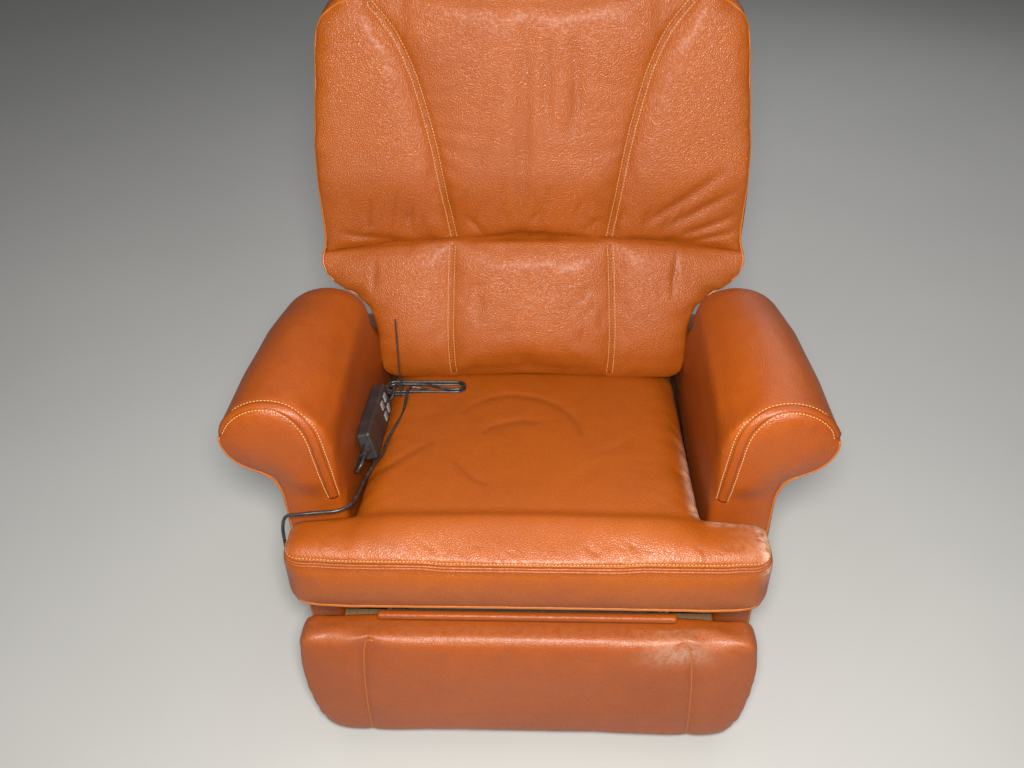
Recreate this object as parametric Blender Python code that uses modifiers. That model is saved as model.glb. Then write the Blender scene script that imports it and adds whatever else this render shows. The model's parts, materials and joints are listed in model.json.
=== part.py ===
"""Leather recliner armchair with a powered back and footrest, and a corded handset.

Metres, +Z up. The chair faces -Y. The origin is on the floor, under the middle of the chair.
Left and right are a viewer's, standing in front of the chair: left is -X.
"""

from math import atan2, cos, pi, radians, sin, tan

import bmesh
import bpy
from mathutils import Vector
from mathutils.geometry import interpolate_bezier

GAP = 0.0003  # between solids that touch

# Seat
SEAT_HALF_WIDTH = 0.259  # between the arms
EAR_HALF_WIDTH = 0.347  # of the cushion's front, which wraps round in front of the arms
SEAT_FRONT_Y, EAR_BACK_Y, SEAT_BACK_Y = -0.395, -0.306, 0.100
SEAT_BOTTOM_Z, SEAT_FRONT_Z, SEAT_BACK_Z = 0.330, 0.470, 0.400
SEAT_EDGE = 0.024

# Arms, as measured on the right one
ARM_INNER_X, ARM_PANEL_X = 0.265, 0.358
ARM_FRONT_Y, ARM_BACK_Y = -0.300, 0.2855
ARM_BOTTOM_Z, ARM_LINING_Z = 0.050, 0.336

# Plywood side frames, inside the arms
SIDE_INNER_X, SIDE_THICK = 0.275, 0.018
SIDE_FRONT_Y, SIDE_BACK_Y = -0.285, 0.270
SIDE_BOTTOM_Z, SIDE_TOP_Z, SIDE_REAR_Z = 0.035, 0.440, 0.338
SIDE_SLOPE_Y = 0.050

# Steel base
RUNNER_X, RUNNER_WIDE, RUNNER_HIGH = 0.2547, 0.040, 0.030
RUNNER_Z = SIDE_BOTTOM_Z + RUNNER_HIGH / 2
TUBE_R = 0.0125
FRONT_TUBE_Y, FRONT_TUBE_Z = -0.030, 0.080
REAR_TUBE_Y, REAR_TUBE_Z = 0.240, 0.120
PLATE_X, PLATE_THICK = 0.23155, 0.0057

# Backrest. Its own frame leans: across X, up along the back from the hinge, and depth behind the hinge.
BACK_HINGE = Vector((0.0, 0.140, 0.360))
BACK_LEAN = radians(15)
RECLINE = radians(38)
BACK_BOTTOM, BACK_CREASE, BACK_TOP = 0.034, 0.257, 0.690
BACK_WAIST_X, BACK_SHOULDER_X, BACK_TOP_X = 0.258, 0.356, 0.342
SHELL_BOTTOM, SHELL_DEPTH, SHELL_WALL = 0.080, 0.094, 0.010
CUSHION_BACK = 0.020
UPPER_FRONT, LUMBAR_FRONT = -0.070, -0.105

# Footrest linkage, in the plane of each side
LOWER_PIVOT = Vector((0.0, -0.100, 0.240))
MIDDLE_PIVOT = Vector((0.0, -0.240, 0.044))
PAD_PIVOT = Vector((0.0, -0.320, 0.270))
LOWER_SWING = radians(54.5)
LOWER_LINK_X, UPPER_LINK_X, LINK_THICK, LINK_WIDE = 0.212, 0.204, 0.006, 0.024
PIVOT_R = 0.005
TORQUE_R = 0.011

# Footrest panel
PAD_FRONT_Y, PAD_BACK_Y, BOARD_BACK_Y = -0.405, -0.352, -0.337
PAD_TOP_Z, PAD_BOTTOM_Z = 0.300, 0.040
PAD_TOP_HALF, PAD_BOTTOM_HALF, PAD_CORNER_R = 0.350, 0.333, 0.058

# Linear actuators: straight rods, each with a pin that slides in its crank's slot
ACTUATOR_R, ROD_R, PIN_R = 0.0135, 0.0080, 0.0040
CRANK_THICK = 0.006
FOOT_ROD_X, FOOT_ROD_Z = -0.070, 0.155
BACK_ROD_X, BACK_ROD_Z = 0.070, 0.200
FOOT_PIN_Y = LOWER_PIVOT.y + (LOWER_PIVOT.z - FOOT_ROD_Z) * tan(LOWER_SWING / 2)
BACK_PIN_Y = BACK_HINGE.y + (BACK_HINGE.z - BACK_ROD_Z) * tan(RECLINE / 2)

# Handset and its cord
CORD_R = 0.0025
HANDSET_LONG, HANDSET_THICK, HANDSET_WIDE = 0.155, 0.023, 0.048
HANDSET_X, HANDSET_Y, HANDSET_LIFT = -0.2478, -0.108, 0.0270
HANDSET_LEAN = radians(13)
SEAT_FALL = atan2(SEAT_FRONT_Z - SEAT_BACK_Z, SEAT_BACK_Y - EAR_BACK_Y)
BUTTON_SIDE, BUTTON_THICK, BUTTON_PROUD, BUTTON_TRAVEL = 0.013, 0.0040, 0.0018, 0.0015
GLAND_CENTRE = Vector((-0.312, -0.304, 0.300))
HANK_X, HANK_Y, HANK_LONG, HANK_WIDE, HANK_HIGH = -0.182, 0.020, 0.140, 0.030, 0.016
TIE_THICK, TIE_WIDE, TIE_X, TIE_TAIL = 0.0012, 0.0026, -0.0415, 0.125

# Colours: linear RGB, roughness, metallic
FINISHES = {
    "leather": ((0.50, 0.17, 0.035), 0.42, 0.0),
    "plywood": ((0.55, 0.38, 0.20), 0.75, 0.0),
    "black_steel": ((0.03, 0.03, 0.032), 0.45, 0.6),
    "zinc_steel": ((0.55, 0.56, 0.58), 0.35, 1.0),
    "black_plastic": ((0.02, 0.02, 0.022), 0.45, 0.0),
    "grey_plastic": ((0.22, 0.23, 0.24), 0.50, 0.0),
    "rubber": ((0.015, 0.015, 0.015), 0.85, 0.0),
}


# ---------------------------------------------------------------- scene and helpers


def clear_scene():
    for obj in list(bpy.data.objects):
        bpy.data.objects.remove(obj)


def make_collection(name):
    collection = bpy.data.collections.new(name)
    bpy.context.scene.collection.children.link(collection)
    return collection


def make_material(name):
    colour, roughness, metallic = FINISHES[name]
    material = bpy.data.materials.new(name)
    material.use_nodes = True
    shader = material.node_tree.nodes["Principled BSDF"]
    shader.inputs["Base Color"].default_value = (*colour, 1.0)
    shader.inputs["Roughness"].default_value = roughness
    shader.inputs["Metallic"].default_value = metallic
    return material


def file_under(obj, collection):
    for owner in list(obj.users_collection):
        owner.objects.unlink(obj)
    collection.objects.link(obj)


def part(obj, name, finish, pivot=None):
    """Names an object, gives it its own material and hangs it on its pivot."""
    obj.name = name
    obj.data.name = name
    file_under(obj, PARTS)
    obj.data.materials.clear()
    material = make_material(finish)
    material.name = name
    obj.data.materials.append(material)
    if obj.type == "MESH":
        obj.data.shade_smooth()
        obj.data.set_sharp_from_angle(angle=radians(35))
    if pivot is not None:
        bpy.context.view_layer.update()
        obj.parent = pivot
        obj.matrix_parent_inverse = pivot.matrix_world.inverted()
    return obj


def make_pivot(name, place, parent=None, lean=0.0):
    """An empty on a joint's axis. A lean tips its Z axis backwards."""
    pivot = bpy.data.objects.new(name, None)
    PARTS.objects.link(pivot)
    pivot.empty_display_size = 0.05
    pivot.location = place
    pivot.rotation_euler.x = -lean
    if parent is not None:
        bpy.context.view_layer.update()
        pivot.parent = parent
        pivot.matrix_parent_inverse = parent.matrix_world.inverted()
    bpy.context.view_layer.update()
    return pivot


def box(size, centre, edge=0.0, segments=2):
    bpy.ops.mesh.primitive_cube_add(size=1, location=centre)
    obj = bpy.context.object
    obj.scale = size
    bpy.ops.object.transform_apply(location=False, rotation=False, scale=True)
    if edge:
        bevel = obj.modifiers.new("edge", "BEVEL")
        bevel.width = edge
        bevel.segments = segments
    return obj


def cylinder(radius, length, centre, axis="X", vertices=20):
    turn = {"X": (0, pi / 2, 0), "Y": (pi / 2, 0, 0), "Z": (0, 0, 0)}[axis]
    bpy.ops.mesh.primitive_cylinder_add(
        vertices=vertices, radius=radius, depth=length, location=centre, rotation=turn
    )
    obj = bpy.context.object
    bpy.ops.object.transform_apply(location=False, rotation=True, scale=False)
    return obj


def cone(radius_start, radius_end, length, centre, direction, vertices=16):
    bpy.ops.mesh.primitive_cone_add(
        vertices=vertices, radius1=radius_start, radius2=radius_end, depth=length, location=centre
    )
    obj = bpy.context.object
    obj.rotation_euler = direction.to_track_quat("Z", "Y").to_euler()
    return obj


def boolean(target, tool, operation):
    """Joins or cuts with a helper object, which stays hidden in its own collection."""
    file_under(tool, TOOLS)
    tool.name = "tool"
    tool.hide_render = True
    tool.display_type = "WIRE"
    modifier = target.modifiers.new(operation.lower(), "BOOLEAN")
    modifier.operation = operation
    modifier.object = tool
    return target


def cut(target, *tools):
    for tool in tools:
        boolean(target, tool, "DIFFERENCE")
    return target


def join(target, *tools):
    for tool in tools:
        boolean(target, tool, "UNION")
    return target


def arc(centre, radius, start, end, steps):
    """Points on an arc in a plane, from one angle to another."""
    angles = [start + (end - start) * i / steps for i in range(steps + 1)]
    return [(centre[0] + radius * cos(a), centre[1] + radius * sin(a)) for a in angles]


def bar_outline(start, end, width, steps):
    """A flat bar with round ends about two pivots."""
    along = atan2(end[1] - start[1], end[0] - start[0])
    half = width / 2
    return arc(end, half, along - pi / 2, along + pi / 2, steps) + arc(
        start, half, along + pi / 2, along + 3 * pi / 2, steps
    )


def circle(centre, radius, steps=16):
    return arc(centre, radius, 0, 2 * pi * (steps - 1) / steps, steps - 1)


def outline_solid(outlines, thickness, centre, plane, edge=0.0, segments=2):
    """A flat outline, with any holes, given a thickness. plane is YZ, XZ or XY."""
    curve = bpy.data.curves.new("outline", "CURVE")
    curve.dimensions = "2D"
    curve.fill_mode = "BOTH"
    curve.extrude = thickness / 2
    for points in outlines:
        spline = curve.splines.new("POLY")
        spline.points.add(len(points) - 1)
        for point, (u, v) in zip(spline.points, points):
            point.co = (u, v, 0, 1)
        spline.use_cyclic_u = True
    obj = bpy.data.objects.new("outline", curve)
    PARTS.objects.link(obj)
    obj.location = centre
    obj.rotation_euler = {"YZ": (pi / 2, 0, pi / 2), "XZ": (pi / 2, 0, 0), "XY": (0, 0, 0)}[plane]
    if edge:
        weld = obj.modifiers.new("weld", "WELD")
        weld.merge_threshold = 0.00005
        bevel = obj.modifiers.new("edge", "BEVEL")
        bevel.width = edge
        bevel.segments = segments
    return obj


def plate(outlines, thickness, x):
    """A plate standing in the plane of a side, at x."""
    return outline_solid(outlines, thickness, (x, 0, 0), "YZ")


def tube_along(points, radius, resolution=2):
    """A round tube through points."""
    curve = bpy.data.curves.new("tube", "CURVE")
    curve.dimensions = "3D"
    curve.bevel_depth = radius
    curve.bevel_resolution = resolution
    curve.use_fill_caps = True
    spline = curve.splines.new("POLY")
    spline.points.add(len(points) - 1)
    for point, place in zip(spline.points, points):
        point.co = (*place, 1)
    obj = bpy.data.objects.new("tube", curve)
    PARTS.objects.link(obj)
    return obj


def smooth_route(points, step):
    """Evenly spaced points on a smooth curve through a route's own points."""
    route = [Vector(p) for p in points]
    ends = [2 * route[0] - route[1], *route, 2 * route[-1] - route[-2]]
    fine = []
    for before, start, end, after in zip(ends, ends[1:], ends[2:], ends[3:]):
        leave = start + (end - before) / 6
        arrive = end - (after - start) / 6
        fine += interpolate_bezier(start, leave, arrive, end, 24)[:-1]
    fine.append(route[-1])
    length = sum((b - a).length for a, b in zip(fine, fine[1:]))
    count = max(2, round(length / step))
    spaced, travelled, target = [fine[0]], 0.0, length / count
    for a, b in zip(fine, fine[1:]):
        span = (b - a).length
        while span and travelled + span >= target - 1e-9 and len(spaced) < count:
            spaced.append(a.lerp(b, (target - travelled) / span))
            target += length / count
        travelled += span
    return [*spaced, fine[-1]]


def loft(sections):
    """A closed solid through sections that have the same number of points."""
    mesh = bpy.data.meshes.new("loft")
    build = bmesh.new()
    rings = [[build.verts.new(p) for p in section] for section in sections]
    for a, b in zip(rings, rings[1:]):
        for i in range(len(a)):
            j = (i + 1) % len(a)
            build.faces.new((a[i], a[j], b[j], b[i]))
    build.faces.new(rings[0])
    build.faces.new(rings[-1])
    bmesh.ops.recalc_face_normals(build, faces=build.faces)
    build.to_mesh(mesh)
    build.free()
    obj = bpy.data.objects.new("loft", mesh)
    PARTS.objects.link(obj)
    return obj


def hold(obj, pivot):
    """Hangs an object, built about the world's origin, in a pivot's own leaning frame."""
    obj.parent = pivot
    for modifier in obj.modifiers:
        if modifier.type == "BOOLEAN":
            modifier.object.parent = pivot
    return obj


def sides():
    """The name and sign of each side."""
    return (("left", -1), ("right", 1))


# ---------------------------------------------------------------- base and side frames


def make_base():
    for side, sign in sides():
        length = SIDE_BACK_Y - SIDE_FRONT_Y - 0.03
        runner = box((RUNNER_WIDE, length, RUNNER_HIGH), (sign * RUNNER_X, 0, RUNNER_Z))
        hollow = box((RUNNER_WIDE - 0.006, length + 0.02, RUNNER_HIGH - 0.006), runner.location)
        part(cut(runner, hollow), f"base_runner_{side}", "black_steel")
        for end, y in (("front", -0.220), ("rear", 0.225)):
            foot = cylinder(0.019, SIDE_BOTTOM_Z - GAP, (sign * RUNNER_X, y, (SIDE_BOTTOM_Z - GAP) / 2), "Z")
            part(foot, f"glide_{end}_{side}", "black_plastic")
    reach = 2 * (PLATE_X - PLATE_THICK / 2 - GAP)
    for name, y, z in (("front", FRONT_TUBE_Y, FRONT_TUBE_Z), ("rear", REAR_TUBE_Y, REAR_TUBE_Z)):
        part(cylinder(TUBE_R, reach, (0, y, z)), f"{name}_cross_tube", "black_steel")


def make_mechanism_plates():
    """Steel plates that carry both pivots, bolted inside the runners."""
    hinge = (BACK_HINGE.y, BACK_HINGE.z)
    outline = (
        [(-0.128, 0.040), (0.262, 0.040), (0.262, 0.140), (0.158, 0.250)]
        + arc(hinge, 0.018, 0, pi, 8)
        + [(0.122, 0.265), (-0.128, 0.265)]
    )
    holes = [circle(hinge, TORQUE_R + GAP), circle((LOWER_PIVOT.y, LOWER_PIVOT.z), TORQUE_R + GAP)]
    for side, sign in sides():
        part(plate([outline, *holes], PLATE_THICK, sign * PLATE_X), f"mechanism_plate_{side}", "black_steel")


def side_outline(gap, back_y):
    """A side frame in its own plane. Its top falls away behind, under the reclining backrest."""
    fall = (SIDE_TOP_Z - SIDE_REAR_Z) / (SIDE_BACK_Y - SIDE_SLOPE_Y)
    return [
        (SIDE_FRONT_Y - gap, SIDE_BOTTOM_Z - gap),
        (back_y, SIDE_BOTTOM_Z - gap),
        (back_y, SIDE_TOP_Z + gap - fall * (back_y - SIDE_SLOPE_Y)),
        (SIDE_SLOPE_Y, SIDE_TOP_Z + gap),
        (SIDE_FRONT_Y - gap, SIDE_TOP_Z + gap),
    ]


def make_side_frames():
    for side, sign in sides():
        board = plate([side_outline(0, SIDE_BACK_Y)], SIDE_THICK, sign * (SIDE_INNER_X + SIDE_THICK / 2))
        part(board, f"side_frame_{side}", "plywood")


def make_rear_apron():
    """The covered board across the back, under the backrest, with the mains inlet in it."""
    thick = 0.015
    y = SIDE_BACK_Y + GAP + thick / 2
    board = box((2 * (SIDE_INNER_X + SIDE_THICK), thick, 0.190), (0, y, 0.175), 0.004)
    inlet = Vector((0.140, y, 0.110))
    part(cut(board, box((0.0306, 0.05, 0.0226), inlet)), "rear_apron", "leather")
    socket = box((0.030, 0.030, 0.022), inlet + Vector((0, -0.006, 0)), 0.002)
    recess = box((0.022, 0.020, 0.014), inlet + Vector((0, 0.006, 0)))
    part(cut(socket, recess), "mains_inlet", "black_plastic")


# ---------------------------------------------------------------- arms


def arm_section(y, centre_x, centre_z, half_wide, half_high):
    """One upright slice of the right arm: lining, roll, neck and outer panel."""
    roll = []
    for i in range(15):
        angle = pi - i * radians(238) / 14
        roll.append((centre_x + half_wide * cos(angle), centre_z + half_high * sin(angle)))
    last = Vector((*roll[-1], 0))
    neck_z = centre_z - half_high - 0.030
    neck = Vector((ARM_PANEL_X, neck_z, 0))
    reach = 0.5 * (last - neck).length
    leave = last + Vector((-reach, -0.1 * reach, 0))
    arrive = neck + Vector((0, reach, 0))
    blend = interpolate_bezier(last, leave, arrive, neck, 5)
    outline = (
        [(SIDE_INNER_X - GAP, ARM_LINING_Z), (ARM_INNER_X, ARM_LINING_Z)]
        + [(ARM_INNER_X, centre_z - 0.9 * half_high)]
        + roll
        + [(p.x, p.y) for p in blend[1:]]
        + [(ARM_PANEL_X, ARM_BOTTOM_Z), (SIDE_INNER_X + SIDE_THICK + GAP, ARM_BOTTOM_Z)]
        + [(SIDE_INNER_X + SIDE_THICK + GAP, ARM_LINING_Z)]
    )
    return [Vector((x, y, z)) for x, z in outline]


def make_arms():
    """Rolled arms: wide in front, narrower behind, then a low tail under the reclining backrest."""
    stations = (
        (ARM_FRONT_Y, 0.348, 0.585, 0.082, 0.070),
        (-0.180, 0.346, 0.585, 0.078, 0.066),
        (-0.060, 0.341, 0.582, 0.072, 0.060),
        (0.030, 0.334, 0.576, 0.065, 0.052),
        (0.062, 0.331, 0.568, 0.061, 0.046),
        (0.078, 0.325, 0.524, 0.055, 0.036),
        (0.130, 0.318, 0.470, 0.050, 0.030),
        (0.200, 0.314, 0.426, 0.046, 0.026),
        (ARM_BACK_Y, 0.312, 0.383, 0.044, 0.022),
    )
    sections = [arm_section(*station) for station in stations]
    for side, sign in sides():
        arm = loft([[Vector((sign * p.x, p.y, p.z)) for p in section] for section in sections])
        outline = side_outline(GAP, ARM_BACK_Y + 0.01)
        slot = plate([outline], SIDE_THICK + 2 * GAP, sign * (SIDE_INNER_X + SIDE_THICK / 2))
        cut(arm, as_mesh(slot))
        if side == "left":
            cut(arm, cylinder(0.0085 + GAP, 0.030, GLAND_CENTRE, "Y", 16))
        part(arm, f"arm_{side}", "leather")


# ---------------------------------------------------------------- seat


def seat_top(y):
    """Height of the seat's top at a depth."""
    share = max(0.0, (y - EAR_BACK_Y) / (SEAT_BACK_Y - EAR_BACK_Y))
    return SEAT_FRONT_Z + share * (SEAT_BACK_Z - SEAT_FRONT_Z)


def make_seat_frame():
    """Wooden rails in a rectangle, joined as one frame, on the mechanism plates."""
    rail_x, rail_wide, rail_high = 0.2447, 0.020, 0.050
    z = 0.3222 - rail_high / 2
    front_y, back_y = -0.280, 0.060
    middle = (front_y + back_y) / 2
    frame = box((rail_wide, back_y - front_y, rail_high), (-rail_x, middle, z))
    far = box((rail_wide, back_y - front_y, rail_high), (rail_x, middle, z))
    across = [box((2 * rail_x, rail_wide, rail_high), (0, y, z)) for y in (front_y, back_y)]
    part(join(frame, *across, far), "seat_frame", "plywood")


def make_seat_springs():
    """Sinuous springs from rail to rail, hooked over their tops."""
    waves, swing, wire = 7, 0.018, 0.0018
    for number, y in enumerate((-0.205, -0.110, -0.015), 1):
        points = []
        for i in range(4 * waves + 1):
            x = -0.2400 + 0.4800 * i / (4 * waves)
            points.append((x, y + swing * sin(i * pi / 2), 0.3222 + GAP + wire))
        part(tube_along(points, wire, 1), f"seat_spring_{number}", "zinc_steel")


def make_seat_cushion():
    """T-shaped cushion: its front wraps round in front of the arms."""
    high = SEAT_FRONT_Z - SEAT_BOTTOM_Z
    z = SEAT_BOTTOM_Z + high / 2
    long = SEAT_BACK_Y - SEAT_FRONT_Y - 0.02
    core = box((2 * SEAT_HALF_WIDTH, long, high), (0, SEAT_BACK_Y - long / 2, z))
    for vertex in core.data.vertices:
        if vertex.co.y > 0 and vertex.co.z > 0:
            vertex.co.z -= SEAT_FRONT_Z - SEAT_BACK_Z
    edge = core.modifiers.new("edge", "BEVEL")
    edge.width = SEAT_EDGE
    edge.segments = 3
    deep = EAR_BACK_Y - SEAT_FRONT_Y
    ears = box((2 * EAR_HALF_WIDTH, deep, high), (0, SEAT_FRONT_Y + deep / 2, z), SEAT_EDGE, 3)
    part(join(core, ears), "seat_cushion", "leather")


def make_seat_trim():
    strip = box((0.440, 0.012, 0.011), (0, -0.382, SEAT_BOTTOM_Z - GAP - 0.0055), 0.002, 1)
    part(strip, "seat_front_trim", "leather")


# ---------------------------------------------------------------- backrest


def back_outline():
    """Right half of the backrest's outline, from the bottom to the top, as across and up."""
    lower = arc((BACK_WAIST_X - 0.030, BACK_BOTTOM + 0.030), 0.030, -pi / 2, 0, 4)
    waist = Vector((BACK_WAIST_X, 0.140, 0))
    shoulder = Vector((BACK_SHOULDER_X, 0.240, 0))
    sweep = interpolate_bezier(
        waist, waist + Vector((0, 0.055, 0)), shoulder + Vector((-0.005, -0.050, 0)), shoulder, 8
    )
    side = [(0.357, 0.420)]
    corner = arc((BACK_TOP_X - 0.095, BACK_TOP - 0.105), 0.095, 0, pi / 2, 8)
    return lower + [(p.x, p.y) for p in sweep] + side + corner


def mirrored(half):
    """A whole outline from its right half."""
    return half + [(-x, v) for x, v in reversed(half)]


def cushion_outline(low, high):
    """The part of the backrest's outline between two heights."""
    half = back_outline()
    kept = [p for p in half if low < p[1] < high]

    def at(v):
        for (x0, v0), (x1, v1) in zip(half, half[1:]):
            if v0 <= v <= v1:
                return (x0 + (x1 - x0) * (v - v0) / (v1 - v0), v)
        return None

    start = [at(low)] if low > BACK_BOTTOM else [half[0]]
    end = [at(high)] if high < half[-1][1] else [half[-1]]
    return mirrored([p for p in start + kept + end if p])


def make_back_frame(pivot):
    """Welded uprights and rails, behind the cushions."""
    tube, depth = 0.025, CUSHION_BACK + GAP + 0.0125
    x, low, high = 0.1953, 0.050, 0.620
    height = high - low
    frame = box((tube, tube, height), (-x, depth, low + height / 2))
    far = box((tube, tube, height), (x, depth, low + height / 2))
    rails = [box((2 * x, tube, tube), (0, depth, v)) for v in (high, 0.340, 0.100)]
    hold(part(join(frame, *rails, far), "back_frame", "black_steel"), pivot)


def make_back_hinges(pivot):
    """Brackets from the hinge to the uprights, and the tube that turns in the mechanism plates."""
    outline = (
        arc((0, 0), 0.018, pi, 3 * pi / 2, 4)
        + [(0.030, -0.018), (CUSHION_BACK + 0.025, 0.010), (CUSHION_BACK + 0.025, 0.200)]
        + [(CUSHION_BACK + GAP, 0.200), (CUSHION_BACK + GAP, 0.032), (-0.010, 0.024)]
    )
    for side, sign in sides():
        bracket = plate([outline, circle((0, 0), TORQUE_R + GAP)], 0.0055, sign * 0.2109)
        hold(part(bracket, f"back_hinge_bracket_{side}", "black_steel"), pivot)
    reach = 2 * (PLATE_X + PLATE_THICK / 2 + 0.003)
    part(cylinder(TORQUE_R, reach, BACK_HINGE), "back_torque_tube", "zinc_steel", pivot)


def make_back_shell(pivot):
    """The covered tray behind the cushions, open in front and where the frame enters."""
    half = [p for p in back_outline() if p[1] > SHELL_BOTTOM]
    outline = mirrored([(BACK_WAIST_X, SHELL_BOTTOM)] + half)
    front = CUSHION_BACK + GAP
    tray = outline_solid([outline], SHELL_DEPTH - front, (0, (SHELL_DEPTH + front) / 2, 0), "XZ", 0.006, 2)
    tray = as_mesh(tray)
    room_y = SHELL_DEPTH / 2 - SHELL_WALL
    room = outline_solid([inset(outline, SHELL_WALL)], SHELL_DEPTH, (0, room_y, 0), "XZ")
    mouth = box((2 * BACK_WAIST_X - 0.03, SHELL_DEPTH, 0.06), (0, room_y, SHELL_BOTTOM))
    hold(part(cut(tray, as_mesh(room), mouth), "back_shell", "leather"), pivot)
    skirt_high = 0.135
    skirt_middle = SHELL_BOTTOM - 0.002 - skirt_high / 2
    skirt = box((0.440, 0.008, skirt_high), (0, SHELL_DEPTH - 0.006, skirt_middle), 0.002, 1)
    hold(part(skirt, "back_skirt", "leather"), pivot)


def inset(outline, distance):
    """An outline moved inwards by a distance, corner by corner."""
    moved = []
    count = len(outline)
    for i, point in enumerate(outline):
        before, after = Vector(outline[i - 1]), Vector(outline[(i + 1) % count])
        along_a, along_b = (Vector(point) - before).normalized(), (after - Vector(point)).normalized()
        normal = Vector((-(along_a + along_b).y, (along_a + along_b).x)).normalized()
        stretch = max(0.5, normal.dot(Vector((-along_a.y, along_a.x))))
        moved.append(tuple(Vector(point) + normal * distance / stretch))
    return moved


def as_mesh(obj):
    """A curve made a mesh, with its caps welded, so that it can be cut."""
    bpy.context.view_layer.update()
    evaluated = obj.evaluated_get(bpy.context.evaluated_depsgraph_get())
    mesh = bpy.data.meshes.new_from_object(evaluated)
    build = bmesh.new()
    build.from_mesh(mesh)
    bmesh.ops.remove_doubles(build, verts=build.verts, dist=0.00005)
    bmesh.ops.recalc_face_normals(build, faces=build.faces)
    build.to_mesh(mesh)
    build.free()
    made = bpy.data.objects.new(obj.name, mesh)
    PARTS.objects.link(made)
    made.matrix_world = obj.matrix_world.copy()
    bpy.data.objects.remove(obj)
    return made


def make_back_cushions(pivot):
    for name, low, high, front in (
        ("lumbar_cushion", BACK_BOTTOM, BACK_CREASE - 0.001, LUMBAR_FRONT),
        ("back_cushion", BACK_CREASE + 0.001, BACK_TOP, UPPER_FRONT),
    ):
        thick = CUSHION_BACK - front
        outline = cushion_outline(low, high)
        solid = outline_solid([outline], thick, (0, CUSHION_BACK - thick / 2, 0), "XZ", 0.022, 2)
        hold(part(solid, name, "leather"), pivot)


def make_crank(name, hinge, pin_depth, half_swing, start, x, slack, pivot):
    """A crank with a radial slot. Its rod's pin runs straight at pin_depth below the hinge."""
    near, far = pin_depth - PIN_R - 0.002, pin_depth / cos(half_swing) + PIN_R + 0.002
    towards = Vector((sin(start), -cos(start)))
    centre = Vector((hinge.y, hinge.z))

    def along(distance):
        return tuple(centre + towards * distance)

    slot = bar_outline(along(near + PIN_R), along(far - PIN_R), 2 * (PIN_R + slack), 6)
    outline = bar_outline(along(0), along(far), 0.026, 8)
    crank = plate([outline, circle(tuple(centre), TORQUE_R + GAP), slot], CRANK_THICK, x)
    return part(crank, name, "zinc_steel", pivot)


# ---------------------------------------------------------------- footrest


def make_footrest_links(lower, upper):
    low, middle, top = ((p.y, p.z) for p in (LOWER_PIVOT, MIDDLE_PIVOT, PAD_PIVOT))
    for side, sign in sides():
        outlines = [bar_outline(low, middle, LINK_WIDE, 8), circle(low, TORQUE_R * 0.6)]
        bar = plate(outlines, LINK_THICK, sign * LOWER_LINK_X)
        pin_long = LINK_THICK + 0.012
        pin = cylinder(PIVOT_R, pin_long, (sign * (LOWER_LINK_X - pin_long / 2), *middle), vertices=16)
        part(join(as_mesh(bar), pin), f"lower_link_{side}", "zinc_steel", lower)
        holes = [circle(middle, PIVOT_R + GAP), circle(top, PIVOT_R + GAP)]
        bar = plate([bar_outline(middle, top, LINK_WIDE, 8), *holes], LINK_THICK, sign * UPPER_LINK_X)
        part(bar, f"upper_link_{side}", "zinc_steel", upper)
    tie_y, tie_z = (0.55 * a + 0.45 * b for a, b in zip(middle, top))
    reach = 2 * (UPPER_LINK_X - LINK_THICK / 2 - GAP)
    part(cylinder(0.008, reach, (0, tie_y, tie_z)), "upper_link_tie_bar", "zinc_steel", upper)


def make_footrest_torque_tube(pivot):
    """It turns in the mechanism plates, and carries both lower links and the crank."""
    reach = 2 * (PLATE_X + PLATE_THICK / 2 + 0.003)
    tube = cylinder(TORQUE_R, reach, LOWER_PIVOT)
    for _, sign in sides():
        room = cylinder(0.03, LINK_THICK + 2 * GAP, (sign * LOWER_LINK_X, LOWER_PIVOT.y, LOWER_PIVOT.z))
        neck = cylinder(TORQUE_R * 0.6 - GAP, 0.03, (sign * LOWER_LINK_X, LOWER_PIVOT.y, LOWER_PIVOT.z))
        join(cut(tube, room), neck)
    part(tube, "footrest_torque_tube", "zinc_steel", pivot)


def make_footrest(pivot):
    """Board, pad and hinge brackets of the panel that swings up under the legs."""
    right = (
        arc((PAD_BOTTOM_HALF - PAD_CORNER_R, PAD_BOTTOM_Z + PAD_CORNER_R), PAD_CORNER_R, -pi / 2, 0, 6)
        + [(PAD_TOP_HALF - 0.004, 0.200)]
        + arc((PAD_TOP_HALF - 0.020, PAD_TOP_Z - 0.020), 0.020, 0, pi / 2, 3)
    )
    thick = PAD_BACK_Y - PAD_FRONT_Y
    middle = (0, (PAD_FRONT_Y + PAD_BACK_Y) / 2, 0)
    pad = outline_solid([mirrored(right)], thick, middle, "XZ", 0.022, 3)
    part(pad, "footrest_pad", "leather", pivot)
    deep = BOARD_BACK_Y - PAD_BACK_Y - GAP
    board = box((0.560, deep, 0.200), (0, BOARD_BACK_Y - deep / 2, 0.178))
    part(board, "footrest_board", "plywood", pivot)
    outline = (
        [(BOARD_BACK_Y + GAP, PAD_PIVOT.z - 0.090), (BOARD_BACK_Y + 0.006, PAD_PIVOT.z - 0.090)]
        + arc((PAD_PIVOT.y, PAD_PIVOT.z), 0.012, -pi / 3, pi / 2, 6)
        + [(BOARD_BACK_Y + GAP, PAD_PIVOT.z + 0.012)]
    )
    for side, sign in sides():
        bracket = as_mesh(plate([outline], LINK_THICK, sign * LOWER_LINK_X))
        foot_y = BOARD_BACK_Y + GAP + 0.0015
        foot = box((0.024, 0.003, 0.080), (sign * (LOWER_LINK_X + 0.009), foot_y, 0.228))
        pin_long = LINK_THICK + 0.012
        pin = cylinder(
            PIVOT_R, pin_long, (sign * (LOWER_LINK_X - pin_long / 2), PAD_PIVOT.y, PAD_PIVOT.z), vertices=16
        )
        part(join(bracket, foot, pin), f"footrest_bracket_{side}", "zinc_steel", pivot)


# ---------------------------------------------------------------- actuators


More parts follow.
